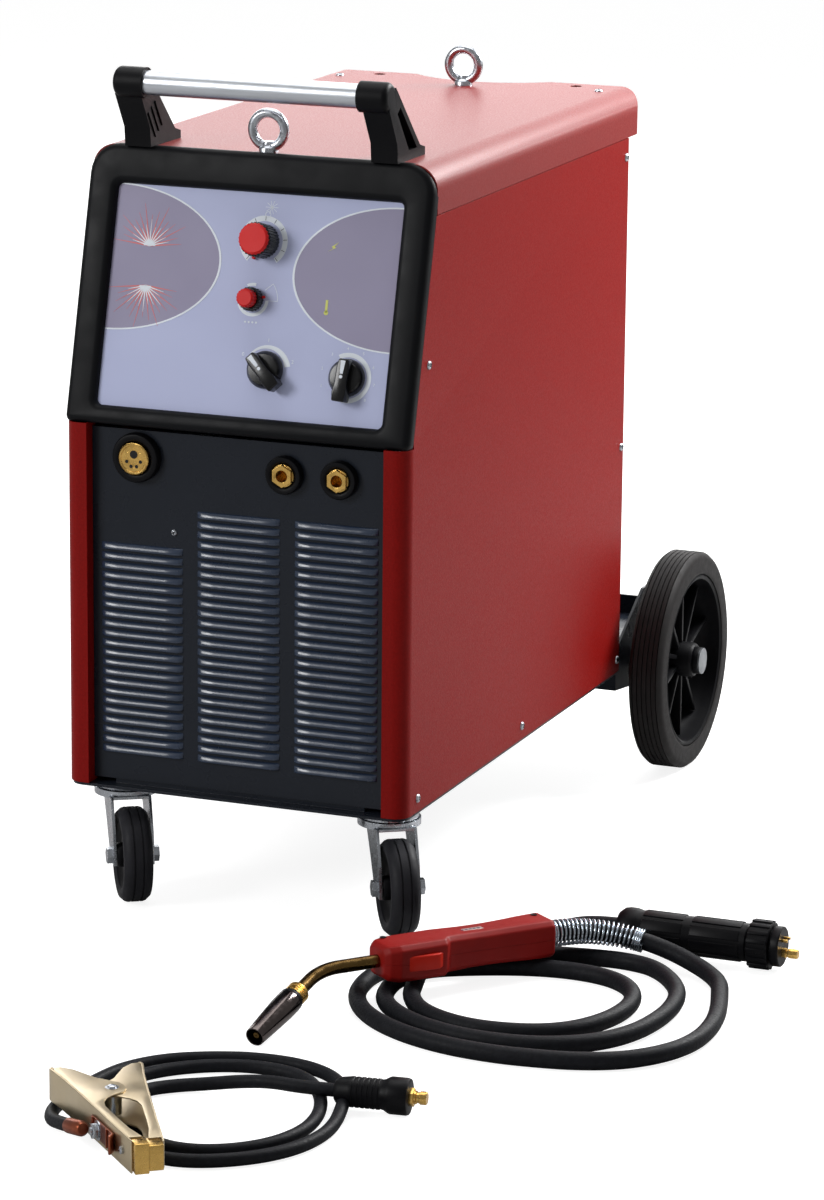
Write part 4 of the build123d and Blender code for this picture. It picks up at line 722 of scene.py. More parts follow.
class FrontSockets(bpy.types.Operator):
    """Torch socket and two earth sockets"""

    bl_idname = "welder.sockets"
    bl_label = "Sockets"

    def execute(self, context):
        f = finishes()
        whole = bmesh.new()
        out = Matrix.Rotation(math.pi / 2, 4, "X")
        spot = Matrix.Translation((EURO_X, PANEL_Y, EURO_Z)) @ out
        add(whole, turned([(17.2, 0), (26, 0), (26, 6.5), (24.5, 9), (21, 10), (18.4, 9), (17.2, 7)], 64, True), spot)
        ring = [(12.1, 0), (20, 0), (20, 6), (18.6, 8.6), (15.5, 9), (13, 7.6), (12.1, 6)]
        for x in EARTH_XS:
            spot = Matrix.Translation((x, PANEL_Y, EARTH_Z)) @ out
            add(whole, turned(ring, 48, True), spot)
        piece("socket_collars", whole, "cart", [f["black"]], ("socket_rings",))
        formed("socket_contacts", "socket_brass", 0.0006, f["brass"])
        spot = Matrix.Translation((EURO_X, 2.2, EURO_Z)) @ out
        face = add(bmesh.new(), turned([(0, 0), (13.2, 0), (13.8, 0.9), (15.6, 1.2), (16.4, 0.6), (16.8, -0.4),
                                        (0, -0.4)], 56), spot, 0)
        holes = ((0.5, 4.6, 4.4), (-7.4, -3.2, 1.9), (-2.6, -8, 1.9), (3.6, -7.8, 1.9), (8, -2.6, 1.9))
        for x, along, radius in holes:
            at = spot @ Matrix.Translation((x, along, 0))
            rim = [(radius, 0), (radius + 0.7, 0), (radius + 0.7, 0.35), (radius, 0.35)]
            add(face, turned(rim, 24, True), at, 0)
            # Each hole is drawn as a flat gloss-black disc on the brass face: painted shade standing in for the open
            # hole.
            add(face, turned([(0, 0), (radius, 0), (radius, 0.3), (0, 0.3)], 24), at, 1)
        piece("torch_socket_face", face, "cart", [f["brass"], f["gloss_black"]])
        return {"FINISHED"}


# ---------------------------------------------------------------- carry bar and lifting eyes
class CarryBar(bpy.types.Operator):
    """Brushed tube between two moulded brackets"""

    bl_idname = "welder.carry_bar"
    bl_label = "Carry bar"

    def execute(self, context):
        f = finishes()
        kept("handle_grip", f["tube"])
        formed("handle_brackets", "bar_brackets", 0.0022, f["black"], 3)
        whole = bmesh.new()
        for side in (-1, 1):
            for i in range(3):
                rib = rounded(box(-1.2, 1.2, -16, 16, -1.4, 1.4), 0.5, 1)
                lean = Matrix.Translation((side * 120.6, 86 - 8 * i, 822 - 5 * i)) @ Matrix.Rotation(-0.98, 4, "X")
                add(whole, rib, lean)
        piece("bracket_ribs", whole, "cart", [f["black"]])
        return {"FINISHED"}


class LiftingEyes(bpy.types.Operator):
    """Two ring bolts on the lid"""

    bl_idname = "welder.lifting_eyes"
    bl_label = "Lifting eyes"

    def execute(self, context):
        f = finishes()
        whole = bmesh.new()
        for y in EYE_YS:
            ring_at = Matrix.Translation((0, y, LID_TOP + EYE_UP)) @ Matrix.Rotation(math.pi / 2, 4, "X")
            add(whole, turned(polygon(20, EYE_WIRE, centre=EYE_RING), 56, True), ring_at)
            foot = turned([(0, -2), (10, -2), (10, 4.2), (9.2, 5.4), (7.6, 6.4), (6.4, 8.5), (5.6, 11), (0, 11)], 40)
            add(whole, foot, Matrix.Translation((0, y, LID_TOP)))
        piece("eye_bolts", whole, "cart", [f["zinc"]], ("lifting_eyes",))
        return {"FINISHED"}


# ---------------------------------------------------------------- wheels
class RearWheels(bpy.types.Operator):
    """Grooved rubber tyres on spoked hubs"""

    bl_idname = "welder.rear_wheels"
    bl_label = "Rear wheels"

    def execute(self, context):
        f = finishes()
        kept("rear_axle", f["dull_zinc"])
        for side, word in ((-1, "left"), (1, "right")):
            x, y, z = WHEEL_SPOT
            spot = Matrix.Translation((side * x, y, z)) @ Matrix.Rotation(side * math.pi / 2, 4, "Y")
            profile = [(99.8, -19.5), (103, -20.5), (108, -19), (117, -20.5), (122, -18.6), (124.4, -15.4)]
            for groove in (-14, -8.4, -2.8, 2.8, 8.4, 14):
                profile += [(125, groove - 0.7), (123, groove - 0.4), (123, groove + 0.4), (125, groove + 0.7)]
            profile += [(124.4, 15.4), (122, 18.6), (117, 20.5), (108, 19), (103, 20.5), (99.8, 19.5)]
            whole = add(bmesh.new(), turned(profile, 96, True), spot)
            piece(f"tyre_{word}", whole, f"rear_wheel_{word}", [f["tyre"]], (f"rear_tyre_{word}",), 50)
            whole = bmesh.new()
            rim = [(90, -17), (99.3, -18), (99.3, 18), (96.5, 19.5), (94, 18), (93, 8), (91, -8), (88, -12), (20, -8),
                   (20, -12), (88, -16)]
            add(whole, turned(rim, 96, True), spot, 0)
            hub = [(10.2, -22), (19, -22), (20, -20), (20, 17), (18, 20), (13, 21), (10.2, 21)]
            add(whole, turned(hub, 48, True), spot, 0)

            def spoke():
                return rounded(slab([(15, -2.6), (91, -1.8), (91, 1.8), (15, 2.6)], -13, 4), 0.9)

            add(whole, ring_of(SPOKES, spoke), spot, 0)
            piece(f"hub_{word}", whole, f"rear_wheel_{word}", [f["black"]], (f"rear_hub_{word}",))
            cap = [(0, 21.4), (15.6, 21.4), (15.6, 26), (14, 28.4), (6.6, 28.4), (6.2, 27.6), (5.4, 28.6), (0, 28.9)]
            axle_cap = piece(f"axle_cap_{word}", add(bmesh.new(), turned(cap, 40), spot), "cart",
                             [f["black"], f["zinc"]])
            for face in axle_cap.data.polygons:
                reach = (Vector(face.center) / MM - Vector((side * x, y, z))).yz.length
                face.material_index = int(reach < 6.3)
        return {"FINISHED"}


class FrontCasters(bpy.types.Operator):
    """Swivelling forks with rubber rollers"""

    bl_idname = "welder.casters"
    bl_label = "Front casters"

    def execute(self, context):
        f = finishes()
        formed("caster_plates", "caster_tops", 0.0006, f["zinc"])
        for side, word in ((-1, "left"), (1, "right")):
            formed(f"caster_fork_{word}", f"fork_{word}", 0.0007, f["zinc"])
            x, y, z = CASTER_SPOT
            spot = (Matrix.Translation((side * x, y, z)) @ Matrix.Rotation(CASTER_TURN, 4, "Z")
                    @ Matrix.Translation((CASTER_TRAIL, 0, 0)) @ Matrix.Rotation(math.pi / 2, 4, "X"))
            whole = bmesh.new()
            tread = [(36, -13), (40, -15.5), (45, -15), (49, -10.5), (50, -7.4), (50, -5.6), (48.4, -5.2),
                     (48.4, -4.0), (50, -3.6), (50, 3.6), (48.4, 4.0), (48.4, 5.2), (50, 5.6), (50, 7.4),
                     (49, 10.5), (45, 15), (40, 15.5), (36, 13)]
            add(whole, turned(tread, 72, True), spot, 0)
            core = [(5.06, -17), (12, -17), (13, -15), (13, -9), (30, -8), (36.4, -12.5), (36.4, 12.5), (30, 8),
                    (13, 9), (13, 15), (12, 17), (5.06, 17)]
            add(whole, turned(core, 56, True), spot, 1)
            piece(f"roller_{word}_wheel", whole, f"roller_{word}", [f["tread"], f["black"]],
                  (f"caster_wheel_{word}",), 45)
        return {"FINISHED"}


# ---------------------------------------------------------------- inside
class InnerWorks(bpy.types.Operator):
    """Finishes of the parts behind the panels"""

    bl_idname = "welder.inside"
    bl_label = "Inside"

    def execute(self, context):
        f = finishes()
        for node, key in (("transformer", "winding"), ("rectifier_stack", "tube"), ("control_board", "board"),
                          ("fan_frame", "black"), ("fan_blades", "black"), ("wire_spool", "black"),
                          ("spool_wire", "winding"), ("wire_feeder", "dull_zinc"), ("drive_roll", "zinc"),
                          ("pressure_arm", "black"), ("pressure_roll", "zinc")):
            kept(node, f[key])
        return {"FINISHED"}


# ---------------------------------------------------------------- torch
def torch_matrix():
    """The handle's own frame: X runs back from its front, and -Y is the trigger's side."""
    ahead = (TORCH_REAR - TORCH_FRONT).normalized()
    up = (Vector((0, 0, 1)) - ahead * ahead.z).normalized()
    side = up.cross(ahead)
    turn = Matrix((ahead, side, up)).transposed().to_4x4()
    return Matrix.Translation(TORCH_FRONT) @ turn


def section(y0, y1, half, cut):
    """An eight-sided outline in the handle's cross-section."""
    return [(y0, half - cut), (y0 + cut, half), (y1 - cut, half), (y1, half - cut), (y1, cut - half),
            (y1 - cut, -half), (y0 + cut, -half), (y0, cut - half)]


HANDLE_STATIONS = [(0, -14, 16, 14, 5), (4, -20, 19, 17.5, 5), (14, -25, 20, 19, 5), (66, -25, 20, 19.2, 5),
                   (73, -17.6, 19.7, 19, 5), (84, -16.7, 19.3, 18.7, 5), (97, -16.3, 18.9, 18.3, 5),
                   (112, -16.2, 18.7, 18.1, 5), (127, -16.5, 18.7, 18.1, 5), (141, -17.1, 19, 18.3, 5),
                   (154, -18, 19.5, 18.6, 5), (166, -18.9, 20.1, 19, 5), (178, -19.6, 20.5, 19.2, 5),
                   (192, -20, 20.8, 19.4, 5), (195.2, -19, 20, 18.6, 5)]


def handle_body():
    """The handle drawn out station by station from its front outline."""
    part = bmesh.new()
    x, *shape = HANDLE_STATIONS[0]
    face = part.faces.new([part.verts.new((x, y, z)) for y, z in section(*shape)])
    start = face
    for x, *shape in HANDLE_STATIONS[1:]:
        grown = bmesh.ops.extrude_face_region(part, geom=[face])["geom"]
        if face is not start:
            bmesh.ops.delete(part, geom=[face], context="FACES_ONLY")
        face = next(g for g in grown if isinstance(g, bmesh.types.BMFace))
        for v, (y, z) in zip(face.verts, section(*shape)):
            v.co = Vector((x, y, z))
    bmesh.ops.recalc_face_normals(part, faces=part.faces)
    return part


def half_handle(keep):
    """The handle's upper (1) or lower (-1) half, closed where it is cut."""
    part = rounded(handle_body(), 1.6, 3, 20)
    cut = bmesh.ops.bisect_plane(part, geom=part.verts[:] + part.edges[:] + part.faces[:],
                                 plane_co=(0, 0, PARTING_GAP * keep), plane_no=(0, 0, -keep), clear_outer=True)
    rim = [e for e in cut["geom_cut"] if isinstance(e, bmesh.types.BMEdge)]
    bmesh.ops.contextual_create(part, geom=rim)
    return part


def nozzle_frame():
    """Z runs forward along the nozzle, from the collar's back."""
    corner = torch_matrix() @ Vector((-NECK_REACH, 0, 0))
    ahead = (NOZZLE_TIP - corner).normalized()
    turn = Vector((0, 0, 1)).rotation_difference(ahead).to_matrix().to_4x4()
    return Matrix.Translation(NOZZLE_TIP - ahead * NOZZLE_L) @ turn


class WeldingTorch(bpy.types.Operator):
    """Handle, trigger, neck, collar and nozzle"""

    bl_idname = "welder.torch"
    bl_label = "Torch"

    def execute(self, context):
        f = finishes()
        place = torch_matrix()
        for keep, word in ((1, "upper"), (-1, "lower")):
            whole = add(bmesh.new(), half_handle(keep), place)
            for x, y in ((13, 12), (186, 9)):
                screw = turned([(0, 0), (3.4, 0), (3.4, 0.3), (2.6, 0.3), (0, -0.8)], 20)
                up = 19.2 if x < 100 else 19.7
                over = Matrix() if keep > 0 else Matrix.Rotation(math.pi, 4, "X")
                add(whole, screw, place @ Matrix.Translation((x, y, up * keep)) @ over, 1)
            shell = piece(f"handle_{word}", whole, "cart", [f["torch"], f["black"]],
                          (f"torch_shell_{word}",), 60)
            shell.modifiers.new("even_faces", "WEIGHTED_NORMAL").keep_sharp = True
        whole = bmesh.new()
        add(whole, rounded(box(92, 120, -3.6, 3.4, 17.5, 18.3), 0.2, 1), place, 0)
        for i in range(5):
            add(whole, box(95.5 + i * 4.6, 98.6 + i * 4.6, -1.2, 1.2, 18.3, 18.36), place, 1)
        piece("handle_label", whole, "cart", [f["label"], f["print_dark"]])
        lever = [(20.5, -14), (20.5, -24.5), (30, -27), (38, -27.6), (50, -29.2), (56, -28.6), (62, -24), (62, -15)]
        whole = add(bmesh.new(), rounded(slab(lever, -8, 8), 1.8, 3), place)
        piece("trigger_lever", whole, "trigger", [f["trigger"]], ("torch_trigger",))
        kept("torch_neck", f["neck"])
        spot = nozzle_frame()
        whole = bmesh.new()
        ridges = [(6.8, -2), (9.6, -2)]
        for i in range(4):
            z = -1.2 + i * 3.2
            ridges += [(11.2, z), (11.2, z + 1.9), (10.1, z + 2.3), (10.1, z + 2.9)]
        ridges += [(9.6, 12.4), (6.8, 12.4)]
        add(whole, turned(ridges, 48, True), spot, 0)
        band = [(6.2, 12.4), (11.9, 12.4), (12.3, 13.4), (12.3, 16.4), (11.9, 17), (6.2, 17)]
        add(whole, turned(band, 48, True), spot, 1)
        piece("collar", whole, "cart", [f["brass"], f["black"]])
        nozzle = [(8.0, 16.6), (12.4, 16.6), (12.7, 18), (12.6, 32), (11.6, 52), (10.2, 76), (9.7, 84), (9.5, 85),
                  (8.6, 85), (8.1, 84), (8.0, 60)]
        whole = add(bmesh.new(), turned(nozzle, 64, True), spot)
        piece("gas_nozzle", whole, "cart", [f["nozzle"]], ("torch_nozzle",))
        return {"FINISHED"}


TORCH_ROUTE = [
    (356.0, -32.0, 38.0), (376.98, -5.07, 37.476), (405.2, 14.0, 32.5), (437.9, 23.4, 26.5), (469.9, 22.3, 19.0),
    (499.0, 11.7, 12.4), (522.6, -6.8, 9.4), (539.8, -31.4, 9.2), (549.1, -59.9, 9.2),
    (559, -92, 9.2), (568, -127, 9.2), (573, -163, 9.2), (573, -199, 9.2), (565, -233, 9.2), (547, -264, 9.2),
    (521, -289, 9.2), (485, -305, 9.2), (448, -312, 9.2),
    (406, -316, 9.2), (350, -310, 9.2), (294, -288, 9.2), (249, -252, 9.2), (221, -207, 9.2),
    (212, -160, 9.2), (215, -122, 9.2),
    (235, -85, 9.2), (275, -45, 9.2), (338, -10, 9.2), (394, 1, 9.2), (430, 3, 9.2), (466, -8, 9.2),
    (503, -54, 9.2), (518, -100, 9.2), (520, -155, 9.2),
    (508, -213, 9.2), (477, -256, 9.2), (424, -281, 9.2), (355, -281, 9.2), (294, -255, 9.2), (252, -212, 9.2),
    (240, -166, 9.2), (242, -128, 9.2),
    (258, -96, 9.2), (314, -66, 9.2), (362, -50, 9.2), (405, -48, 9.2), (441, -59, 9.2), (468, -85, 9.2),
    (481, -128, 9.2), (475, -178, 9.2), (452, -223, 9.2), (413, -247, 9.2), (354, -253, 9.2), (299, -227, 9.2),
    (271, -186, 9.2), (262, -152, 9.6), (257, -124, 16), (258, -103, 27.6), (264, -70, 27.6), (272, -46, 27.6),
    (285, -22, 24), (301, 5, 13), (320, 33, 12.5), (346, 53, 19.5), (375, 61, 25.35), (403, 61, 25.35)]


def metres(points):
    return [tuple(c * MM for c in point) for point in points]


class TorchLead(bpy.types.Operator):
    """Coiled hose with its bend spring and central plug"""

    bl_idname = "welder.torch_lead"
    bl_label = "Torch lead"

    def execute(self, context):
        f = finishes()
        s = bpy.context.scene.welder
        cable = line("torch_cable", metres(TORCH_ROUTE), s.torch_cable / 2)
        cable.data.materials.append(f["cable"])
        bpy.context.scene.collection.objects.link(cable)
        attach(cable, "cart")
        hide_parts("torch_cable_lead", "torch_cable_coil")
        build_spring(f)
        plug, nut = build_torch_plug(f)
        return {"FINISHED"}


def route_points(points):
    """Points along the spline that a list of control points gives, in millimetres."""
    bare = line("bare_route", metres(points), 0)
    mesh = bpy.data.meshes.new_from_object(bare)
    found = [v.co / MM for v in mesh.vertices]
    bpy.data.meshes.remove(mesh)
    old = bare.data
    bpy.data.objects.remove(bare)
    bpy.data.curves.remove(old)
    return found


def build_spring(f):
    """The bend spring, wound round the cable where it leaves the handle."""
    s = bpy.context.scene.welder
    points = route_points(TORCH_ROUTE[:12])
    runs = [0.0]
    for a, b in zip(points, points[1:]):
        runs.append(runs[-1] + (b - a).length)

    def at(distance):
        i = max(j for j in range(len(runs) - 1) if runs[j] <= distance)
        t = (distance - runs[i]) / max(1e-9, runs[i + 1] - runs[i])
        ahead = (points[i + 1] - points[i]).normalized()
        return points[i].lerp(points[i + 1], t), ahead

    length, per_turn, tight = 108.0, 14, 2.5
    open_turns = s.spring_turns - 6
    pitch = (length - 4 - 6 * tight) / open_turns
    reach = [1.8]
    for gap in [tight] * 2 + [pitch] * open_turns + [tight] * 4:
        reach += [reach[-1] + gap * (i + 1) / per_turn for i in range(per_turn)]
    coil = []
    for i, distance in enumerate(reach):
        centre, ahead = at(distance)
        side = ahead.cross(Vector((0, 0, 1))).normalized()
        up = side.cross(ahead)
        a = math.tau * i / per_turn
        swell = 13.3 - 2.3 * distance / length
        coil.append((centre + swell * (math.cos(a) * side + math.sin(a) * up)) * MM)
    wire = line("spring_wire", coil, 0.00125, 3)
    wire.data.splines[0].resolution_u = 2
    whole = mesh_from(wire)
    bmesh.ops.scale(whole, vec=(1 / MM,) * 3, verts=whole.verts)
    piece("bend_spring", whole, "cart", [f["spring"]], ("torch_spring",), 60)


PLUG_AXIS = (61.0, 25.35)


def build_torch_plug(f):
    y, z = PLUG_AXIS
    along = Matrix.Translation((0, y, z)) @ Matrix.Rotation(math.pi / 2, 4, "Y")
    whole = bmesh.new()
    body = [(0, 403), (16, 403), (20, 408), (21, 413), (21, 420), (20, 424), (19.4, 426), (19.4, 540), (17, 543),
            (17, 566), (19.5, 566.5), (20.5, 568), (20.5, 575), (19.5, 576), (0, 576)]
    add(whole, turned(body, 56), along, 0)
    for i in range(8):
        for low, high in ((430, 473), (482, 534)):
            flat = rounded(box(18.2, 20, -5.6, 5.6, low, high), 0.7)
            add(whole, flat, along @ Matrix.Rotation(i * math.tau / 8 + 0.2, 4, "Z"), 0)
    pin = [(0, 574), (5, 574), (5, 580), (4.2, 580.6), (4.2, 582), (5, 582.6), (5, 590), (4.4, 592), (0, 592)]
    add(whole, turned(pin, 24), along @ Matrix.Translation((6, 0, 0)), 1)
    for dy in (-5, 5):
        add(whole, rod((-8, dy, 574), (-8, dy, 582), 1.6, 12), along, 1)
    body_piece = piece("torch_plug", whole, "cart", [f["black"], f["brass"]], ("euro_plug_body",))
    whole = bmesh.new()
    ring = [(17.1, 543), (22.6, 543), (23.6, 544), (23.6, 564), (22.6, 565), (17.1, 565)]
    add(whole, turned(ring, 64, True), along, 0)

    def rib():
        return rounded(box(22, 25, -2.3, 2.3, 543.4, 564.6), 0.8)

    add(whole, ring_of(16, rib), along, 0)
    nut = piece("torch_plug_nut", whole, "plug_nut", [f["black"]], ("euro_plug_nut",))
    return body_piece, nut


# ---------------------------------------------------------------- earth lead
EARTH_ROUTE = [
    (137.5, -677.8, 20.0), (115.0, -657.0, 13.0), (96.0, -635.0, 7.2), (86.5, -609.0, 6.7), (86.0, -581.0, 6.7),
    (88, -552, 6.7), (90, -520, 6.7), (99, -482, 6.7), (124, -446, 6.7), (163, -422, 6.7), (206, -408, 6.7),
    (252, -409, 6.7), (288, -426, 6.7), (313, -456, 6.7), (330, -500, 10), (343, -556, 6.7), (339, -603, 6.7),
    (322, -640, 6.7), (294, -668, 6.7), (262, -686, 6.7), (232, -690, 6.7), (196, -676, 6.7), (156, -652, 6.7),
    (126, -612, 6.7), (112, -566, 6.7), (112, -520, 6.7), (130, -478, 6.7), (166, -446, 6.7), (206, -430, 6.7),
    (250, -432, 6.7), (280, -452, 6.7), (303, -488, 6.7), (318, -530, 6.7), (322, -572, 6.7), (312, -610, 6.7),
    (290, -640, 6.7), (258, -660, 6.7), (224, -662, 6.7), (184, -642, 6.7), (150, -606, 6.7), (136, -566, 6.7),
    (142, -530, 6.7), (164, -508, 6.7), (190, -496, 8), (222, -490, 13), (254, -492, 17.85),
    (285, -495, 17.85), (318, -490.6, 17.85)]


class EarthLead(bpy.types.Operator):
    """Coiled cable with its pin plug"""

    bl_idname = "welder.earth_lead"
    bl_label = "Earth lead"

    def execute(self, context):
        f = finishes()
        s = bpy.context.scene.welder
        cable = line("earth_cable", metres(EARTH_ROUTE), s.earth_cable / 2)
        cable.data.materials.append(f["cable"])
        bpy.context.scene.collection.objects.link(cable)
        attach(cable, "cart")
        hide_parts("earth_cable_lead", "earth_cable_coil")
        earth_plug = build_earth_plug(f)
        return {"FINISHED"}


def build_earth_plug(f):
    ahead = Vector((0.9912, 0.1322, 0)).normalized()
    turn = Vector((0, 0, 1)).rotation_difference(ahead).to_matrix().to_4x4()
    spot = Matrix.Translation((318, -490.6, 17.85)) @ turn
    whole = bmesh.new()
    sleeve = [(0, 0), (9.5, 0), (11.5, 1.5), (13, 6), (14.2, 14)]
    for i in range(6):
        z = 15 + i * 5
        sleeve += [(14.5, z), (14.5, z + 2.6), (13.9, z + 3.2), (13.9, z + 4.4)]
    sleeve += [(14.5, 47), (16.8, 51), (17.5, 53), (17.5, 68), (16.6, 70.4), (14, 71), (0, 71)]
    add(whole, turned(sleeve, 48), spot, 0)
    add(whole, rounded(slab(polygon(6, 9), 70.5, 75), 0.5), spot, 1)
    pin = [(0, 74), (6.3, 74), (6.3, 77), (5.2, 77.6), (5.2, 80), (6.3, 80.6), (6.3, 86), (5.4, 87), (0, 87)]
    add(whole, turned(pin, 32), spot, 1)
    return piece("earth_pin_plug", whole, "cart", [f["black"], f["brass"]], ("earth_plug",))


SNUG = Matrix.Diagonal((0.94, 0.92, 0.97, 1))
CHEEK = [(-71, 44), (-70, 36), (-60, 25), (-46, 17), (-32, 9), (-21, -2), (-13, -10), (-4, -13), (6, -13), (14, -8),
         (20, 3), (27, 11), (37, 16.5), (50, 18), (84, 14), (116, 9.4), (132, 5), (140, 3), (140, 16.4), (100, 21.6),
         (40, 29.4), (0, 34.6), (-40, 40.6), (-60, 44.6)]
WEB = [(-73, 43), (-72.6, 46.6), (-69, 48), (-60, 46.6), (-40, 42.4), (0, 36.4), (40, 31), (100, 23), (150, 16.6),
       (150, 14.4), (100, 20.8), (40, 28.8), (0, 34.2), (-40, 40.2), (-60, 44), (-68, 45), (-70.6, 44)]


def clamp_frame():
    """X runs to the jaws' tips, Z up, from the middle of the rivet."""
    ahead = Vector((*CLAMP_DIR, 0)).normalized()
    side = Vector((0, 0, 1)).cross(ahead)
    return Matrix.Translation(CLAMP_AT) @ Matrix((ahead, side, (0, 0, 1))).transposed().to_4x4() @ SNUG


def pressed_jaw(side, half):
    """Two cheeks joined by the web along their outer edge, with a brass pad at the tip."""
    flip = Matrix.Diagonal((1, side, 1, 1))
    whole = bmesh.new()
    for low, high in ((half - 2, half), (-half, 2 - half)):
        add(whole, rounded(slab(CHEEK, low, high), 0.7, 2, 60), flip, 0)
    add(whole, rounded(slab(WEB, 0.1 - half, half - 0.1), 0.9, 3, 50), flip, 0)
    add(whole, rounded(box(136, 158, -0.1, 14.2, 1.4 - half, half - 1.4), 0.8), flip, 1)
    return whole


class EarthClamp(bpy.types.Operator):
    """Two pressed jaws with their brass pads, rivet, bolt and cable lug"""

    bl_idname = "welder.clamp"
    bl_label = "Earth clamp"

    def execute(self, context):
        f = finishes()
        materials = [f["clamp"], f["brass"], f["zinc"], f["copper"]]
        place = clamp_frame()
        whole = pressed_jaw(-1, 16)
        add(whole, turned([(0, 15.6), (7, 15.6), (7, 16.2), (4.6, 16.4), (4.2, 17.6), (2.6, 18.4), (0, 18.6)], 28),
            Matrix(), 2)
        add(whole, rod((0, 0, -16), (0, 0, 16), 3.9, 24), Matrix(), 2)
        web = Matrix.Translation((70, -27, 0)) @ Matrix.Rotation(math.atan2(31, 232), 4, "Z")
        add(whole, rounded(slab([(-20, -3.2), (36, -3.2), (42, -9), (45, -8), (37, -0.4), (-20, -0.4)], -9, 9), 0.5),
            web, 3)
        out = web @ Matrix.Rotation(math.pi / 2, 4, "X")
        add(whole, turned([(0, 3.2), (9.5, 3.2), (9.5, 4.4), (0, 4.4)], 32), out, 2)
        add(whole, rounded(slab(polygon(6, 8, 0.3), 4.4, 10), 0.6), out, 2)
        add(whole, rod((0, 0, 9), (0, 0, 11.5), 4, 20), out, 2)
        for x in (-14, 24):
            lip = rounded(box(x - 1.4, x + 1.4, 3, 4.6, -9.2, 9.2), 0.4)
            add(whole, lip, web @ Matrix.Diagonal((1, -1, 1, 1)), 3)
        small = web @ Matrix.Translation((58, 0, 0)) @ Matrix.Rotation(math.pi / 2, 4, "X")
        add(whole, turned([(0, 0), (4, 0), (4, 2.4), (3, 3.2), (0, 3.2)], 20), small, 2)
        jaw = bmesh.new()
        add(jaw, whole, place)
        start, then = Vector(EARTH_ROUTE[0]), Vector(EARTH_ROUTE[1])
        back = (start - then).normalized()
        barrel = turned([(6.5, -3), (7.2, -3), (7.2, 26), (5, 30), (0, 30), (0, 27), (6.5, 2)], 32)
        turn = Vector((0, 0, 1)).rotation_difference(back).to_matrix().to_4x4()
        add(jaw, barrel, Matrix.Translation(start) @ turn, 3)
        piece("clamp_jaw_fixed", jaw, "cart", materials, ("clamp_fixed_jaw",))
        whole = bmesh.new()
        add(whole, pressed_jaw(1, 13.7), place)
        piece("clamp_jaw_moving", whole, "clamp_jaw", materials, ("clamp_moving_jaw",))
        kept("clamp_spring", f["spring"])
        return {"FINISHED"}


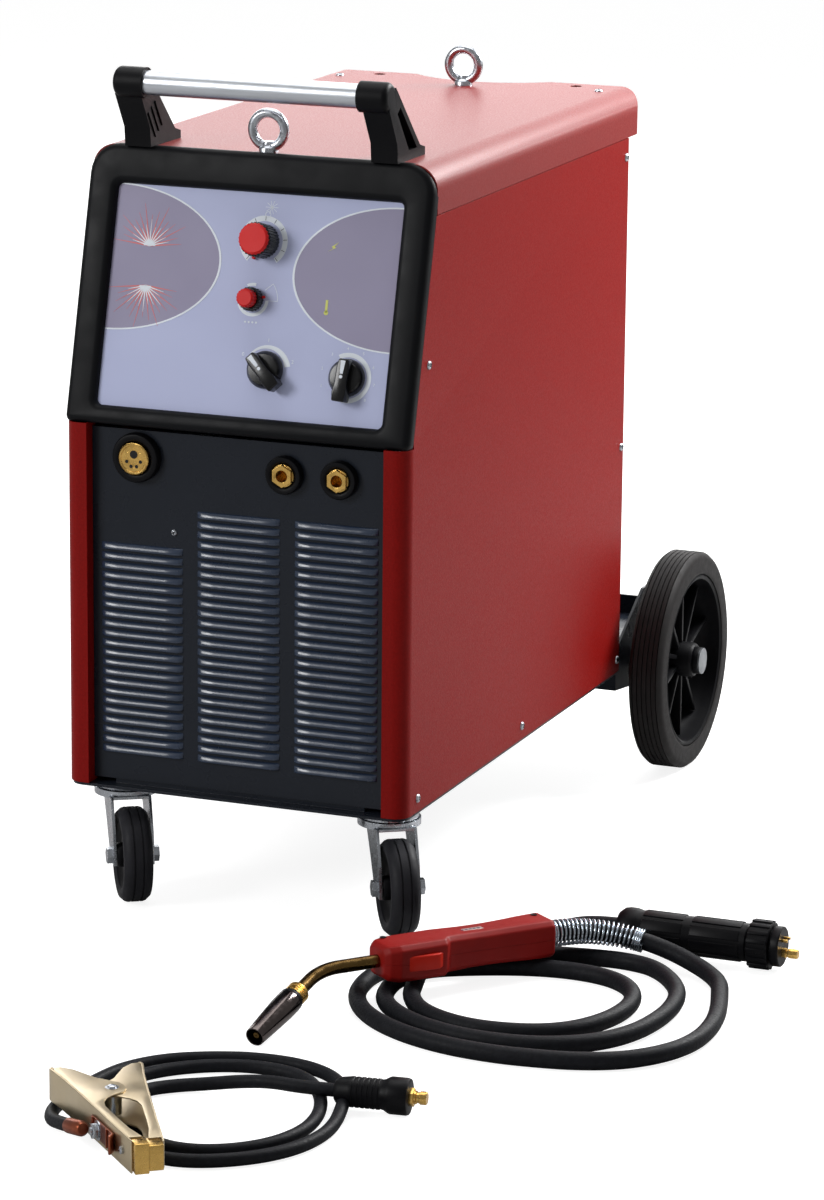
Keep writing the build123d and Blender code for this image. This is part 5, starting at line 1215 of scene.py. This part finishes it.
# ---------------------------------------------------------------- studio
class StudioStage(bpy.types.Operator):
    """Floor, lights and camera"""

    bl_idname = "welder.studio"
    bl_label = "Studio"

    def execute(self, context):
        whole = bmesh.new()
        bmesh.ops.create_grid(whole, x_segments=1, y_segments=1, size=14)
        mesh = bpy.data.meshes.new("studio_floor")
        whole.to_mesh(mesh)
        whole.free()
        floor = bpy.data.objects.new("studio_floor", mesh)
        made, tree, body = shader("studio_paper", (0.4, 0.4, 0.4), 0.8)
        body.inputs["Emission Color"].default_value = (1, 1, 1, 1)
        seen = tree.nodes.new("ShaderNodeLightPath")
        lift = tree.nodes.new("ShaderNodeMath")
        lift.operation = "MULTIPLY"
        lift.inputs[1].default_value = 0.86
        tree.links.new(seen.outputs["Is Camera Ray"], lift.inputs[0])
        tree.links.new(lift.outputs["Value"], body.inputs["Emission Strength"])
        mesh.materials.append(made)
        bpy.context.scene.collection.objects.link(floor)
        world = bpy.data.worlds.new("studio_air")
        world.use_nodes = True
        world.node_tree.nodes["Background"].inputs[0].default_value = (1, 1, 1, 1)
        world.node_tree.nodes["Background"].inputs[1].default_value = 0.28
        bpy.context.scene.world = world

        def panel(name, place, aim, size, power):
            light = bpy.data.lights.new(name, "AREA")
            light.shape = "RECTANGLE"
            light.size, light.size_y = size
            light.energy = power
            holder = bpy.data.objects.new(name, light)
            holder.location = place
            holder.rotation_euler = (Vector(aim) - Vector(place)).to_track_quat("-Z", "Y").to_euler()
            bpy.context.scene.collection.objects.link(holder)

        panel("over_light", (-0.4, 0.7, 3.6), (0, 0.0, 0.4), (3.0, 3.0), 70)
        panel("front_light", (-2.6, -3.2, 2.2), (0, 0, 0.4), (1.6, 1.6), 96)
        panel("side_light", (1.2, 1.75, 1.75), (0.19, 0.6, 0.6), (0.8, 1.0), 84)
        panel("back_light", (-1.6, 5.2, 2.2), (0, 0.3, 0.8), (6.6, 3.4), 205)
        yaw, pitch, roll = 0.375, 0.241, 0.009
        ahead = Vector((-math.sin(yaw) * math.cos(pitch), math.cos(yaw) * math.cos(pitch), -math.sin(pitch)))
        right = Vector((math.cos(yaw), math.sin(yaw), 0))
        up = right.cross(ahead)
        right, up = right * math.cos(roll) + up * math.sin(roll), up * math.cos(roll) - right * math.sin(roll)
        eye = bpy.data.cameras.new("studio_camera")
        eye.sensor_width = 36
        eye.lens = 4887.5 / 1200 * 36
        eye.clip_end = 60
        holder = bpy.data.objects.new("studio_camera", eye)
        turn = Matrix((right, up, -ahead)).transposed().to_4x4()
        holder.matrix_world = Matrix.Translation((1.94227, -4.43616, 1.53217)) @ turn
        bpy.context.scene.collection.objects.link(holder)
        bpy.context.scene.camera = holder
        bpy.context.scene.view_settings.view_transform = "Standard"
        return {"FINISHED"}


PIECES = (
    CaseSheets, CaseScrews, ControlFace, ControlKnobs, LouvredFront, FrontSockets, CarryBar,
    LiftingEyes, RearWheels, FrontCasters, InnerWorks, WeldingTorch, TorchLead, EarthLead,
    EarthClamp, StudioStage)


class WelderPanel(bpy.types.Panel):
    """Lists the welder's pieces in the sidebar"""

    bl_idname = "VIEW3D_PT_welder"
    bl_label = "Welder on a cart"
    bl_space_type = "VIEW_3D"
    bl_region_type = "UI"
    bl_category = "Welder"

    def draw(self, context):
        for name in WelderSettings.__annotations__:
            self.layout.prop(context.scene.welder, name)
        for made in PIECES:
            self.layout.operator(made.bl_idname)


def register():
    for made in (WelderSettings, *PIECES, WelderPanel):
        bpy.utils.register_class(made)
    bpy.types.Scene.welder = PointerProperty(type=WelderSettings)


def unregister():
    del bpy.types.Scene.welder
    for made in (WelderPanel, *reversed(PIECES), WelderSettings):
        bpy.utils.unregister_class(made)


def main():
    register()
    for made in PIECES:
        getattr(bpy.ops.welder, made.bl_idname.split(".")[1])()


if __name__ == "__main__":
    main()
